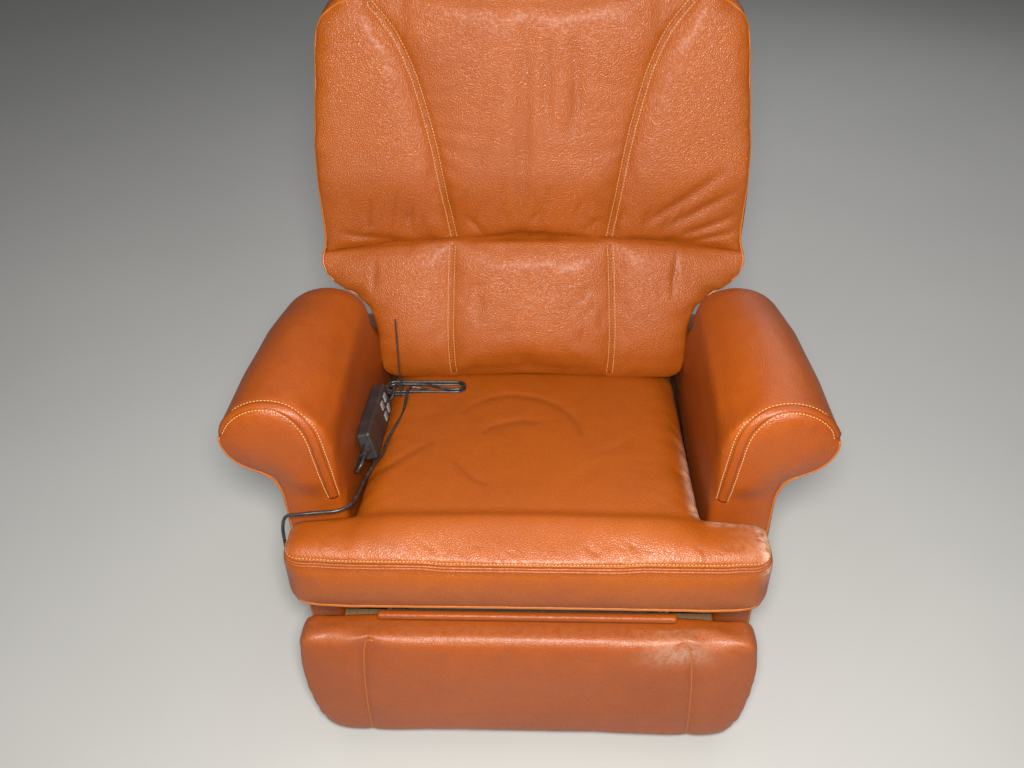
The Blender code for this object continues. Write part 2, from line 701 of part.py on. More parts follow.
def make_rod(name, x, z, pin_y, back, long, pivot):
    """A push rod with a fork and pin at its end. back is +1 where the rod reaches behind the pin."""
    rod = cylinder(ROD_R, long, (x, pin_y + back * (0.025 + long / 2), z), "Y", 16)
    fork = box((0.028, 0.045, 0.020), (x, pin_y + back * 0.0105, z))
    mouth = box((CRANK_THICK + 0.0012, 0.044, 0.030), (x, pin_y - back * 0.002, z))
    pin = cylinder(PIN_R, 0.026, (x, pin_y, z), vertices=16)
    part(join(cut(join(rod, fork), mouth), pin), name, "zinc_steel", pivot)


def make_actuator_tube(name, x, z, y0, y1):
    tube = cylinder(ACTUATOR_R, y1 - y0, (x, (y0 + y1) / 2, z), "Y", 20)
    bore = cylinder(ROD_R + 0.0012, y1 - y0 + 0.02, (x, (y0 + y1) / 2, z), "Y", 16)
    part(cut(tube, bore), name, "grey_plastic")


def make_actuators(foot_pivot, back_pivot):
    make_rod("footrest_rod", FOOT_ROD_X, FOOT_ROD_Z, FOOT_PIN_Y, 1, 0.185, foot_pivot)
    make_actuator_tube("footrest_actuator_tube", FOOT_ROD_X, FOOT_ROD_Z, 0.005, 0.1797)
    gearbox = box((0.062, 0.088, 0.047), (FOOT_ROD_X - 0.008, 0.224, 0.1564), 0.004)
    motor = cylinder(0.022, 0.090, (FOOT_ROD_X - 0.075, 0.215, FOOT_ROD_Z), "X")
    part(join(gearbox, motor), "footrest_motor", "black_plastic")

    make_rod("back_rod", BACK_ROD_X, BACK_ROD_Z, BACK_PIN_Y, -1, 0.190, back_pivot)
    make_actuator_tube("back_actuator_tube", BACK_ROD_X, BACK_ROD_Z, -0.1397, 0.045)
    gearbox = box((0.058, 0.066, 0.048), (BACK_ROD_X + 0.006, -0.173, BACK_ROD_Z - 0.002), 0.004)
    motor = cylinder(0.020, 0.090, (BACK_ROD_X + 0.060, -0.173, BACK_ROD_Z - 0.004), "X")
    foot = box((0.020, 0.130, 0.006), (BACK_ROD_X, -0.090, FRONT_TUBE_Z + 0.045))
    stay = box((0.020, 0.006, 0.080), (BACK_ROD_X, -0.152, 0.162))
    post = box((0.020, 0.008, 0.034), (BACK_ROD_X, FRONT_TUBE_Y, FRONT_TUBE_Z + TUBE_R + GAP + 0.017))
    part(join(gearbox, motor, stay, foot, post), "back_motor", "black_plastic")


def make_control_box():
    case = box((0.090, 0.070, 0.034), (0.150, 0.222, REAR_TUBE_Z + TUBE_R + GAP + 0.017), 0.004)
    part(case, "control_box", "black_plastic")


# ---------------------------------------------------------------- handset and cord


def make_handset():
    """It stands on edge on the seat and leans on the left arm. Returns its cord's start and direction."""
    pivot = make_pivot("handset_pivot", (HANDSET_X, HANDSET_Y, seat_top(HANDSET_Y) + HANDSET_LIFT))
    pivot.rotation_mode = "YXZ"
    pivot.rotation_euler = (-SEAT_FALL, -HANDSET_LEAN, 0)
    bpy.context.view_layer.update()
    body = box((HANDSET_THICK, HANDSET_LONG, HANDSET_WIDE), (0, 0, 0), 0.004)
    keys = (
        ("button_back_down", 0.052, 0.010),
        ("button_back_up", 0.052, -0.010),
        ("button_feet_down", 0.026, 0.010),
        ("button_feet_up", 0.026, -0.010),
    )
    x = HANDSET_THICK / 2 + BUTTON_PROUD - BUTTON_THICK / 2
    deep = BUTTON_THICK - BUTTON_PROUD + BUTTON_TRAVEL + GAP
    side = BUTTON_SIDE + 2 * GAP
    for name, y, z in keys:
        cut(body, box((deep + 0.01, side, side), (HANDSET_THICK / 2 + 0.005 - deep / 2, y, z)))
        key = box((BUTTON_THICK, BUTTON_SIDE, BUTTON_SIDE), (x, y, z), 0.0012, 1)
        hold(part(key, name, "grey_plastic"), pivot)
    hold(part(body, "handset_body", "black_plastic"), pivot)
    long = 0.022
    y = -(HANDSET_LONG / 2 + GAP + long / 2)
    relief = cone(0.0075, 0.0040, long, (0, y, 0), Vector((0, -1, 0)))
    hold(part(relief, "handset_strain_relief", "rubber"), pivot)
    forward = pivot.matrix_world.to_3x3() @ Vector((0, -1, 0))
    return pivot.matrix_world @ Vector((0, y - long / 2 - GAP, 0)), forward


def make_gland():
    gland = cylinder(0.0085, 0.026, GLAND_CENTRE, "Y", 16)
    part(gland, "cord_gland", "rubber")


def on_seat(x, y, lift=0.0):
    """A cord's centre where it lies on the seat."""
    return (x, y, seat_top(y) + CORD_R + 0.0006 + lift)


def make_cord(handset_end, forward):
    """Two free stretches: from the gland over the seat to the hank, and from the hank to the handset."""
    start = GLAND_CENTRE + Vector((0, -0.013 - GAP, 0))
    hank_front = HANK_Y - HANK_WIDE / 2 - 0.0008
    chair_route = [
        start,
        start + Vector((0, -0.007, 0)),
        start + Vector((-0.011, -0.019, 0.008)),
        (-0.3450, -0.332, 0.335),
        (-0.3545, -0.328, 0.370),
        (-0.3560, -0.322, 0.410),
        (-0.3540, -0.320, 0.445),
        (-0.3440, -0.322, 0.469),
        on_seat(-0.3260, -0.322),
        on_seat(-0.3000, -0.318),
        on_seat(-0.2720, -0.314),
        on_seat(-0.2550, -0.302),
        on_seat(-0.2490, -0.280),
        on_seat(-0.2450, -0.245),
        on_seat(-0.2380, -0.205),
        on_seat(-0.2285, -0.170),
        on_seat(-0.2260, -0.135),
        on_seat(-0.2200, -0.095),
        on_seat(-0.2125, -0.050),
        on_seat(-0.2110, -0.018, 0.007),
        on_seat(-0.2110, hank_front, 0.012),
    ]
    chair_side = smooth_route(chair_route, 0.012)
    chair_side.insert(1, start + Vector((0, -0.006, 0)))
    part(tube_along(chair_side, CORD_R), "handset_cord", "rubber")
    handset_route = [
        handset_end,
        handset_end + forward * 0.009,
        (-0.2500, -0.2262, 0.4792),
        (-0.2562, -0.2310, 0.4712),
        (-0.2602, -0.2250, 0.4630),
        on_seat(-0.2612, -0.208),
        on_seat(-0.2612, -0.180),
        on_seat(-0.2612, -0.120),
        on_seat(-0.2610, -0.065),
        on_seat(-0.2570, -0.038),
        on_seat(-0.2455, -0.020),
        on_seat(-0.2365, -0.008, 0.005),
        on_seat(-0.2350, hank_front, 0.012),
    ]
    part(tube_along(smooth_route(handset_route, 0.008), CORD_R), "handset_cord_end", "rubber")


def make_hank():
    """The tied hank of spare cord, in the crease of the seat, and its zip tie with an uncut tail."""
    pivot = make_pivot("hank_pivot", (HANK_X, HANK_Y, seat_top(HANK_Y)))
    pivot.rotation_euler.x = -SEAT_FALL
    bpy.context.view_layer.update()
    half = (HANK_LONG - HANK_WIDE) / 2
    base = TIE_THICK + 3 * GAP
    outline = bar_outline((-half, 0), (half, 0), HANK_WIDE, 8)
    hank = outline_solid([outline], HANK_HIGH, (0, 0, base + HANK_HIGH / 2), "XY", 0.004, 2)
    hold(part(hank, "handset_cord_hank", "rubber"), pivot)

    middle = (TIE_X, 0, base + HANK_HIGH / 2)
    wide, high = HANK_WIDE + 2 * GAP, HANK_HIGH + 2 * GAP
    tie = box((TIE_WIDE, wide + 2 * TIE_THICK, high + 2 * TIE_THICK), middle)
    room = box((2 * TIE_WIDE, wide, high), middle)
    top = base + HANK_HIGH + GAP + TIE_THICK
    head_y = -HANK_WIDE / 2 + 0.004
    head = box((0.0052, 0.0052, 0.0050), (TIE_X, head_y, top + 0.0023))
    tail = box((TIE_WIDE - 0.0004, 0.0011, TIE_TAIL), (TIE_X, head_y, top + 0.003 + TIE_TAIL / 2))
    hold(part(join(cut(tie, room), head, tail), "cord_zip_tie", "black_plastic"), pivot)


def main():
    make_base()
    make_mechanism_plates()
    make_side_frames()
    make_rear_apron()
    make_arms()
    make_seat_frame()
    make_seat_springs()
    make_seat_cushion()
    make_seat_trim()

    back = make_pivot("back_pivot", BACK_HINGE, lean=BACK_LEAN)
    make_back_frame(back)
    make_back_hinges(back)
    make_back_shell(back)
    make_back_cushions(back)
    depth = BACK_HINGE.z - BACK_ROD_Z
    make_crank("back_crank", BACK_HINGE, depth, RECLINE / 2, RECLINE / 2, BACK_ROD_X, 0.0015, back)

    lower = make_pivot("lower_link_pivot", LOWER_PIVOT)
    upper = make_pivot("upper_link_pivot", MIDDLE_PIVOT, lower)
    panel = make_pivot("footrest_pivot", PAD_PIVOT, upper)
    make_footrest_links(lower, upper)
    make_footrest_torque_tube(lower)
    depth = LOWER_PIVOT.z - FOOT_ROD_Z
    half_swing = LOWER_SWING / 2
    make_crank("footrest_crank", LOWER_PIVOT, depth, half_swing, half_swing, FOOT_ROD_X, 0.003, lower)
    make_footrest(panel)

    foot_slide = make_pivot("footrest_rod_pivot", (FOOT_ROD_X, FOOT_PIN_Y, FOOT_ROD_Z))
    back_slide = make_pivot("back_rod_pivot", (BACK_ROD_X, BACK_PIN_Y, BACK_ROD_Z))
    make_actuators(foot_slide, back_slide)
    make_control_box()

    make_gland()
    make_cord(*make_handset())
    make_hank()


clear_scene()
PARTS = make_collection("recliner_armchair")
TOOLS = make_collection("tools")
main()
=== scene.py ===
"""The visible surfaces of a leather recliner armchair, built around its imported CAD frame."""

import json
from math import atan2, cos, pi, radians, sin

import bpy
import numpy as np
from mathutils import Matrix, Vector
from mathutils.bvhtree import BVHTree
from mathutils.geometry import interpolate_bezier
from mathutils.kdtree import KDTree


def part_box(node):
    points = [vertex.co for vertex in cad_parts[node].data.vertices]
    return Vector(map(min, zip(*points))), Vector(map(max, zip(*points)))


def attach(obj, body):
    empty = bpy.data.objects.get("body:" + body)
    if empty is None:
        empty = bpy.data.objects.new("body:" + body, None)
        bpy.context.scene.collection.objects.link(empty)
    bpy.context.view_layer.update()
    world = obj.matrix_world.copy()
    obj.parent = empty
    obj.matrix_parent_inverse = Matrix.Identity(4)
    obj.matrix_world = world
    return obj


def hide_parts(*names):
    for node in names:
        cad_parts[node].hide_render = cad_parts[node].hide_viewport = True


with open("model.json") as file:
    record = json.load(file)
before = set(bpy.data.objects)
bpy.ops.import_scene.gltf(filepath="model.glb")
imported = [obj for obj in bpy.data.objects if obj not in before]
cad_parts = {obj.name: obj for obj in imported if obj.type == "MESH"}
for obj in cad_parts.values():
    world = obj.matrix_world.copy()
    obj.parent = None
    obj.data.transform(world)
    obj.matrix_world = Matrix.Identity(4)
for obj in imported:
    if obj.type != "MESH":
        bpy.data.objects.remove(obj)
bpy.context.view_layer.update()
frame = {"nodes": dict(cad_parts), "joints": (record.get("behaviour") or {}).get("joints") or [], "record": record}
SCENE = bpy.context.scene
JOINTS = {joint["name"]: joint for joint in frame["joints"]}

# ---- driving places, in metres

BACK_HINGE = Vector(JOINTS["back_recline"]["pos_m"])
BACK_LEAN = radians(15)
SEAT_LOW, SEAT_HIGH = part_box("seat_cushion")
SEAT_DROP, SEAT_RUN = 0.07, 0.406  # how far the seat falls towards the back, and over what length
SEAT_SLOPE = SEAT_DROP / SEAT_RUN
SEAT_FALL = atan2(SEAT_DROP, SEAT_RUN)
SEAT_SLOPE_Y = -0.306  # where it starts to fall
CORD_R = 0.0025
WELT = 0.0038
VOXEL = 0.006
LINE_STEP = 0.004  # between the points of a smooth line


def seat_top(y):
    """Height of the flat CAD seat at a distance from front to back."""
    return SEAT_HIGH.z - SEAT_SLOPE * max(0.0, y - SEAT_SLOPE_Y)


def back_point(across, up, deep):
    """A point given in the leaning backrest's own axes: across, up along it, and deep into it."""
    y = BACK_HINGE.y + deep * cos(BACK_LEAN) + up * sin(BACK_LEAN)
    z = BACK_HINGE.z + up * cos(BACK_LEAN) - deep * sin(BACK_LEAN)
    return Vector((across, y, z))


INTO_BACK = Vector((0, cos(BACK_LEAN), -sin(BACK_LEAN)))
UP_BACK = Vector((0, sin(BACK_LEAN), cos(BACK_LEAN)))


def eased(value, low, high):
    """0 below low, 1 above high, and a smooth change between them."""
    share = np.clip((value - low) / (high - low), 0, 1)
    return share * share * (3 - 2 * share)


def hump(value, middle, width):
    """1 at the middle, and a smooth fall to 0 on both sides."""
    return np.exp(-(((value - middle) / width) ** 2))


# ---- meshes and lines


def link(obj):
    SCENE.collection.objects.link(obj)
    return obj


def mesh_object(name, vertices, faces):
    mesh = bpy.data.meshes.new(name)
    mesh.from_pydata([tuple(v) for v in vertices], [], [tuple(f) for f in faces])
    mesh.update()
    mesh.shade_smooth()
    return link(bpy.data.objects.new(name, mesh))


def triples(rows, key):
    values = np.zeros(len(rows) * 3, np.float32)
    rows.foreach_get(key, values)
    return values.reshape(-1, 3).astype(float)


def points_of(obj):
    return triples(obj.data.vertices, "co")


def normals_of(obj):
    return triples(obj.data.vertex_normals, "vector")


def move_to(obj, co):
    obj.data.vertices.foreach_set("co", co.astype(np.float32).ravel())
    obj.data.update()


def apply_modifiers(obj):
    bpy.context.view_layer.update()
    evaluated = obj.evaluated_get(bpy.context.evaluated_depsgraph_get())
    mesh = bpy.data.meshes.new_from_object(evaluated)
    obj.modifiers.clear()
    obj.data = mesh
    mesh.shade_smooth()


def copy_of(node, name):
    """A new object with a CAD node's mesh, without its material."""
    mesh = frame["nodes"][node].data.copy()
    mesh.materials.clear()
    return link(bpy.data.objects.new(name, mesh))


def modify(obj, kind, **values):
    modifier = obj.modifiers.new(kind.lower(), kind)
    for key, value in values.items():
        setattr(modifier, key, value)
    return modifier


def spaced(line, step):
    """Evenly spaced points along a line."""
    line = np.array(line, float)
    along = np.concatenate([[0], np.cumsum(np.linalg.norm(np.diff(line, axis=0), axis=1))])
    at = np.linspace(0, along[-1], max(3, int(round(along[-1] / step)) + 1))
    return np.stack([np.interp(at, along, line[:, axis]) for axis in range(3)], axis=1)


def handles(points):
    """For a smooth curve through points: the direction and handle lengths at each of them."""
    last = len(points) - 1
    for i, point in enumerate(points):
        before, after = points[max(0, i - 1)], points[min(last, i + 1)]
        along = (after - before).normalized()
        yield point, along, (point - before).length / 3, (after - point).length / 3


def smooth_line(points):
    """Evenly spaced points on a smooth curve through a few points."""
    made = list(handles([Vector(p) for p in points]))
    fine = []
    for (start, leave, _, long_a), (end, arrive, long_b, _) in zip(made, made[1:]):
        fine += interpolate_bezier(start, start + leave * long_a, end - arrive * long_b, end, 16)[:-1]
    fine.append(made[-1][0])
    return spaced([tuple(p) for p in fine], LINE_STEP)


def unit(rows):
    """Rows scaled to a length of 1."""
    return rows / np.maximum(np.linalg.norm(rows, axis=1, keepdims=True), 1e-9)


class Surface:
    """A finished mesh that lines are laid on."""

    def __init__(self, *objects):
        corners, faces = [], []
        for obj in objects:
            first = len(corners)
            corners += [v.co.copy() for v in obj.data.vertices]
            faces += [tuple(first + i for i in p.vertices) for p in obj.data.polygons]
        self.tree = BVHTree.FromPolygons(corners, faces)

    def drop(self, line, direction=None):
        """The line moved onto the surface, along a direction where one is given, and its normals."""
        places, normals = [], []
        for point in line:
            place = normal = None
            if direction is not None:
                start = Vector(point) - direction * 0.15
                place, normal, _, _ = self.tree.ray_cast(start, direction, 0.4)
            if place is None:
                place, normal, _, _ = self.tree.find_nearest(Vector(point))
            places.append(place)
            normals.append(normal)
        return np.array(places), np.array(normals)

    def beside(self, places, normals, offset):
        """A line that runs beside another on the surface."""
        across = unit(np.cross(np.gradient(places, axis=0), normals))
        return self.drop(places + across * offset)


def nearness(co, line, reach):
    """For each point near a line: its index, its distance to the line, and how far along it is, 0 to 1."""
    low, high = line.min(0) - reach, line.max(0) + reach
    near = np.nonzero(((co > low) & (co < high)).all(1))[0]
    best = np.full(len(near), 1e9)
    along = np.zeros(len(near))
    steps = len(line) - 1
    for i, (start, end) in enumerate(zip(line, line[1:])):
        way = end - start
        share = np.clip(((co[near] - start) @ way) / max(way @ way, 1e-12), 0, 1)
        away = np.linalg.norm(co[near] - start - share[:, None] * way, axis=1)
        closer = away < best
        best[closer] = away[closer]
        along[closer] = (i + share[closer]) / steps
    kept = best < reach
    return near[kept], best[kept], along[kept]


def paint(obj, name, values):
    """Keeps one number for each point, which the material reads."""
    attribute = obj.data.attributes.get(name) or obj.data.attributes.new(name, "FLOAT", "POINT")
    attribute.data.foreach_set("value", values.astype(np.float32))


def painted(obj, name):
    values = np.zeros(len(obj.data.vertices), np.float32)
    if name in obj.data.attributes:
        obj.data.attributes[name].data.foreach_get("value", values)
    return values.astype(float)


def carve(obj, lines):
    """Sinks grooves into a surface and paints shade along them, kept in the seam attribute. Each line is its
    points, depth, width, taper and the strength of its painted shade.
    """
    co, out = points_of(obj), normals_of(obj)
    seam = painted(obj, "seam")
    moved = np.zeros(len(co))
    for line, depth, width, taper, dark in lines:
        index, away, along = nearness(co, line, 3.2 * width)
        shape = hump(away, 0, width)
        if taper:
            shape *= np.sin(pi * np.clip(along, 0, 1)) ** taper
        moved[index] -= depth * shape
        # painted shade: the middle of each groove is darkened, as shade would fall in a fold or seam
        seam[index] = np.maximum(seam[index], dark * hump(away, 0, 0.55 * width) * (shape > 0.02))
    move_to(obj, co + out * moved[:, None])
    paint(obj, "seam", seam)


def tube_faces(first, rings, sides):
    """The faces of a closed tube whose rings of vertices follow one another."""
    faces = []
    for a in range(first, first + (rings - 1) * sides, sides):
        for k in range(sides):
            n = (k + 1) % sides
            faces.append((a + k, a + n, a + sides + n, a + sides + k))
    last = first + (rings - 1) * sides
    return faces + [[first + k for k in reversed(range(sides))], [last + k for k in range(sides)]]


def band_mesh(runs, wide, high):
    """Rounded bands along runs of (places, normals), as vertices and faces. A welt is a round one."""
    vertices, faces, sides = [], [], 10
    for line, normals in runs:
        along = unit(np.gradient(line, axis=0))
        side = unit(np.cross(along, normals))
        up = np.cross(side, along)
        first = len(vertices)
        for k in range(sides * len(line)):
            i, angle = k // sides, 2 * pi * (k % sides) / sides
            vertices.append(line[i] + wide / 2 * cos(angle) * side[i] + high / 2 * sin(angle) * up[i])
        faces += tube_faces(first, len(line), sides)
    return vertices, faces


def sunk(run, depth):
    """The same run, moved into the surface."""
    return run[0] - depth * run[1], run[1]


def steadied(run, rounds=3):
    """The same run with its small jumps smoothed away; its ends stay."""
    places, normals = run[0].copy(), run[1].copy()
    for _ in range(rounds):
        for row in (places, normals):
            row[1:-1] = (row[:-2] + 2 * row[1:-1] + row[2:]) / 4
    return places, unit(normals)


STITCH_LONG, STITCH_PITCH, STITCH_R = 0.0036, 0.005, 0.00062


def stitch_mesh(rows):
    """Short rounded stitches along rows of (places, normals), as vertices and faces."""
    vertices, faces, sides = [], [], 6
    profile = ((-0.5, 0.35), (-0.36, 0.9), (0.0, 1.0), (0.36, 0.9), (0.5, 0.35))
    for places, normals in rows:
        length = np.linalg.norm(np.diff(places, axis=0), axis=1).sum()
        count = max(2, int(length / STITCH_PITCH))
        line = spaced(places, length / (2 * count))
        out = spaced_like(normals, len(line))
        for i in range(1, len(line) - 1, 2):
            way = line[i + 1] - line[i - 1]
            way /= max(np.linalg.norm(way), 1e-9)
            up = out[i] - way * (out[i] @ way)
            up /= max(np.linalg.norm(up), 1e-9)
            side = np.cross(way, up)
            first = len(vertices)
            for at, size in profile:
                middle = line[i] + way * (at * STITCH_LONG)
                lift = up * (0.35 * STITCH_R - 0.8 * STITCH_R * (2 * at) ** 4)
                for k in range(sides):
                    angle = 2 * pi * k / sides
                    ring = size * STITCH_R * (cos(angle) * side + sin(angle) * up)
                    vertices.append(middle + lift + ring)
            faces += tube_faces(first, len(profile), sides)
    return vertices, faces


def spaced_like(normals, count):
    """Normals along a line, read at another number of places."""
    at = np.linspace(0, len(normals) - 1, count)
    return np.stack([np.interp(at, range(len(normals)), normals[:, axis]) for axis in range(3)], axis=1)


# ---- padding


def remeshed(obj, shrink, relax, voxel=VOXEL):
    """An even, rounded mesh of the same shape, a little smaller, to be filled out."""
    modify(obj, "WELD", merge_threshold=0.00002)
    modify(obj, "REMESH", mode="VOXEL", voxel_size=voxel, use_smooth_shade=True)
    apply_modifiers(obj)
    move_to(obj, points_of(obj) - shrink * normals_of(obj))
    modify(obj, "SMOOTH", factor=0.5, iterations=relax)
    apply_modifiers(obj)


PIN_WIDTH = 0.007
PIN_STEP = 0.25
CLOTH_FRAMES = 20


def fill_out(obj, pins, cap, pressure=4.0, slack=0.0, calm=5):
    """Swells the cover as its filling does, held at the pins' lines. It moves at most cap (x, y, z)."""
    start = points_of(obj)
    held = np.zeros(len(start))
    for line in pins:
        index, away, _ = nearness(start, line, PIN_WIDTH)
        held[index] = np.maximum(held[index], np.clip(1.4 - 1.4 * away / PIN_WIDTH, 0, 1))
    group = obj.vertex_groups.new(name="held")
    for level in np.arange(PIN_STEP, 1.01, PIN_STEP):
        chosen = np.nonzero((held > level - PIN_STEP) & (held <= level))[0]
        if len(chosen):
            group.add(chosen.tolist(), float(level), "REPLACE")
    cloth = modify(obj, "CLOTH")
    settings = cloth.settings
    settings.quality = 4
    settings.mass = 0.25
    settings.tension_stiffness = settings.compression_stiffness = 15
    settings.shear_stiffness = 5
    settings.bending_stiffness = 0.4
    settings.use_pressure = True
    settings.uniform_pressure_force = pressure
    settings.shrink_min = -slack
    settings.effector_weights.gravity = 0
    settings.vertex_group_mass = "held"
    cloth.collision_settings.use_collision = False
    cloth.collision_settings.use_self_collision = False
    cloth.point_cache.frame_start = 1
    cloth.point_cache.frame_end = CLOTH_FRAMES
    for number in range(1, CLOTH_FRAMES + 1):
        SCENE.frame_set(number)
    apply_modifiers(obj)
    SCENE.frame_set(1)
    step = calmed(obj, points_of(obj) - start, calm)
    cap = np.array(cap)
    move_to(obj, start + cap * np.tanh(step / cap))
    obj.vertex_groups.clear()


def calmed(obj, step, rounds):
    """The moves of a mesh's points, each averaged with its neighbours' several times."""
    edges = np.zeros(len(obj.data.edges) * 2, np.int32)
    obj.data.edges.foreach_get("vertices", edges)
    edges = edges.reshape(-1, 2)
    count = np.maximum(np.bincount(edges.ravel(), minlength=len(step)), 1)[:, None]
    for _ in range(rounds):
        near = np.zeros_like(step)
        for axis in range(3):
            near[:, axis] = np.bincount(edges[:, 0], step[edges[:, 1], axis], len(step))
            near[:, axis] += np.bincount(edges[:, 1], step[edges[:, 0], axis], len(step))
        step = (step + near / count) / 2
    return step


def crowned(obj, out, high, rim, reach, where=None):
    """Swells the faces that look out and lie past rim, by 0 at their edge and high far from it."""
    co, out = points_of(obj), np.array(out)
    facing, past = normals_of(obj) @ out, co @ out > rim
    edge = co[(facing < 0.55) & (facing > 0.1) & past]
    tree = KDTree(len(edge))
    for i, point in enumerate(edge):
        tree.insert(point, i)
    tree.balance()
    chosen = np.nonzero((facing > 0.55) & past)[0]
    away = np.array([tree.find(co[i])[2] for i in chosen])
    swell = high * (1 - hump(away, 0, reach))
    if where is not None:
        swell = swell * where(co[chosen])
    co[chosen] += swell[:, None] * out
    move_to(obj, co)


def refined(obj):
    modify(obj, "SUBSURF", levels=1, render_levels=1)
    apply_modifiers(obj)


# ---- materials


class Look:
    """A material whose shader is fed by a few nodes, read in the object's own coordinates."""

    def __init__(self, name, **values):
        self.material = bpy.data.materials.new(name)
        self.material.use_nodes = True
        self.tree = self.material.node_tree
        self.shader = self.tree.nodes["Principled BSDF"]
        for key, value in values.items():
            self.shader.inputs[key.replace("_", " ")].default_value = value
        self.place = self.node("TexCoord").outputs["Object"]

    def node(self, kind, settings=(), inputs=()):
        node = self.tree.nodes.new("ShaderNode" + kind)
        for key, value in dict(settings).items():
            setattr(node, key, value)
        for key, value in dict(inputs).items():
            self.feed(node.inputs[key], value)
        return node

    def feed(self, entry, value):
        if isinstance(value, bpy.types.NodeSocket):
            self.tree.links.new(value, entry)
        else:
            entry.default_value = value

    def noise(self, scale, detail=2.0, rough=0.55, at=None):
        inputs = {"Vector": at or self.place, "Scale": scale, "Detail": detail, "Roughness": rough}
        return self.node("TexNoise", (), inputs).outputs["Fac"]

    def cells(self, scale, feature="F1", at=None):
        inputs = {"Vector": at or self.place, "Scale": scale}
        return self.node("TexVoronoi", {"feature": feature}, inputs).outputs["Distance"]

    def stretched(self, x, y, z):
        """The object's coordinates, scaled by axis."""
        node = self.node("Mapping", (), {"Vector": self.place, "Scale": (x, y, z)})
        return node.outputs["Vector"]

    def warped(self, scale, strength):
        """The object's coordinates, pushed about by noise."""
        noise = self.node("TexNoise", (), {"Vector": self.place, "Scale": scale})
        inputs = {0: noise.outputs["Color"], 3: strength}
        push = self.node("VectorMath", {"operation": "SCALE"}, inputs)
        inputs = {0: self.place, 1: push.outputs[0]}
        return self.node("VectorMath", {"operation": "ADD"}, inputs).outputs[0]

    def range(self, value, low, high, to_low=0.0, to_high=1.0):
        inputs = {"Value": value, 1: low, 2: high, 3: to_low, 4: to_high}
        return self.node("MapRange", {"clamp": True}, inputs).outputs[0]

    def times(self, a, b):
        return self.node("Math", {"operation": "MULTIPLY"}, {0: a, 1: b}).outputs[0]

    def plus(self, a, b):
        return self.node("Math", {"operation": "ADD"}, {0: a, 1: b}).outputs[0]

    def mix(self, share, a, b):
        return self.node("Mix", {"data_type": "RGBA"}, {0: share, 6: a, 7: b}).outputs[2]

    def painted(self, name):
        return self.node("Attribute", {"attribute_name": name}).outputs["Fac"]

    def bump(self, height, strength, distance, under=None):
        inputs = {"Height": height, "Strength": strength, "Distance": distance}
        node = self.node("Bump", (), inputs)
        if under is not None:
            self.feed(node.inputs["Normal"], under)
        return node.outputs["Normal"]

    def finish(self, colour=None, rough=None, normal=None):
        for key, value in (("Base Color", colour), ("Roughness", rough), ("Normal", normal)):
            if value is not None:
                self.feed(self.shader.inputs[key], value)
        return self.material


def rgb(r, g, b):
    return (r, g, b, 1.0)


TAN = rgb(0.29, 0.062, 0.0015)
TAN_DEEP = rgb(0.222, 0.041, 0.0012)
# the dark of the grain lines, and of the painted shade in carved seams and folds
TAN_GRAIN_AND_SHADE = rgb(0.08, 0.014, 0.0015)
TAN_PALE = rgb(0.38, 0.092, 0.0045)
SCUFF = rgb(0.56, 0.36, 0.26)


def leather(name, tan=TAN, deep=TAN_DEEP, grain=1.0):
    """Pebbled, pigmented hide: mottled colour, dark grain lines, painted shade in carved seams and folds, pale
    rubbed edges.
    """
    look = Look(name, Specular_IOR_Level=0.42, Coat_Weight=0.04, Coat_Roughness=0.28)
    clouds = look.range(look.noise(4.5, 4.0), 0.35, 0.68)
    blotches = look.range(look.noise(30.0, 3.0), 0.4, 0.66)
    warped = look.warped(300.0, 0.0013)
    pebble = look.range(look.cells(370.0, "DISTANCE_TO_EDGE", warped), 0.0, 0.2)
    dome = look.range(look.cells(370.0, "F1", warped), 0.05, 0.62, 1.0, 0.0)
    pores = look.range(look.noise(1100.0, 1.0), 0.3, 0.62)
    seam = look.painted("seam")
    rubbed = look.range(look.noise(95.0, 6.0, 0.72), 0.32, 0.56)
    worn = look.times(look.painted("worn"), rubbed)
    colour = look.mix(look.times(clouds, 0.45), tan, deep)
    colour = look.mix(look.times(blotches, 0.12), colour, TAN_PALE)
    colour = look.mix(look.range(pebble, 0.0, 1.0, 0.26, 0.0), colour, TAN_GRAIN_AND_SHADE)
    # painted shade: darker along carved seams and folds, read from the seam attribute
    colour = look.mix(look.times(seam, 0.75), colour, TAN_GRAIN_AND_SHADE)
    colour = look.mix(look.times(worn, 0.85), colour, SCUFF)
    rough = look.range(pebble, 0.0, 1.0, 0.48, 0.33)
    rough = look.plus(rough, look.range(clouds, 0.0, 1.0, -0.02, 0.05))
    rough = look.plus(rough, look.times(worn, 0.25))
    height = look.plus(look.times(pebble, 0.35), look.times(dome, 0.75))
    height = look.plus(height, look.times(pores, 0.1))
    normal = look.bump(look.noise(24.0, 3.0), 0.2, 0.0022)
    normal = look.bump(height, 0.85 * grain, 0.00055, normal)
    return look.finish(colour, rough, normal)


def thread_look():
    look = Look("thread", Sheen_Weight=0.3)
    twist = look.range(look.noise(900.0, 2.0), 0.3, 0.7)
    colour = look.mix(twist, rgb(0.46, 0.2, 0.03), rgb(0.6, 0.34, 0.09))
    normal = look.bump(look.noise(1600.0, 1.0), 0.5, 0.0003)
    return look.finish(colour, look.range(twist, 0.0, 1.0, 0.55, 0.75), normal)


def plywood_look():
    look = Look("plywood_grain")
    along = look.stretched(1.0, 9.0, 1.0)
    grain = look.noise(38.0, 5.0, 0.6, look.stretched(6.0, 1.0, 14.0))
    bands = look.range(grain, 0.35, 0.68)
    colour = look.mix(bands, rgb(0.15, 0.085, 0.04), rgb(0.085, 0.045, 0.02))
    knots = look.range(look.noise(7.0, 3.0, 0.5, along), 0.45, 0.75, 0.0, 0.35)
    colour = look.mix(knots, colour, rgb(0.06, 0.034, 0.018))
    normal = look.bump(grain, 0.35, 0.0006)
    return look.finish(colour, look.range(grain, 0.3, 0.7, 0.55, 0.75), normal)


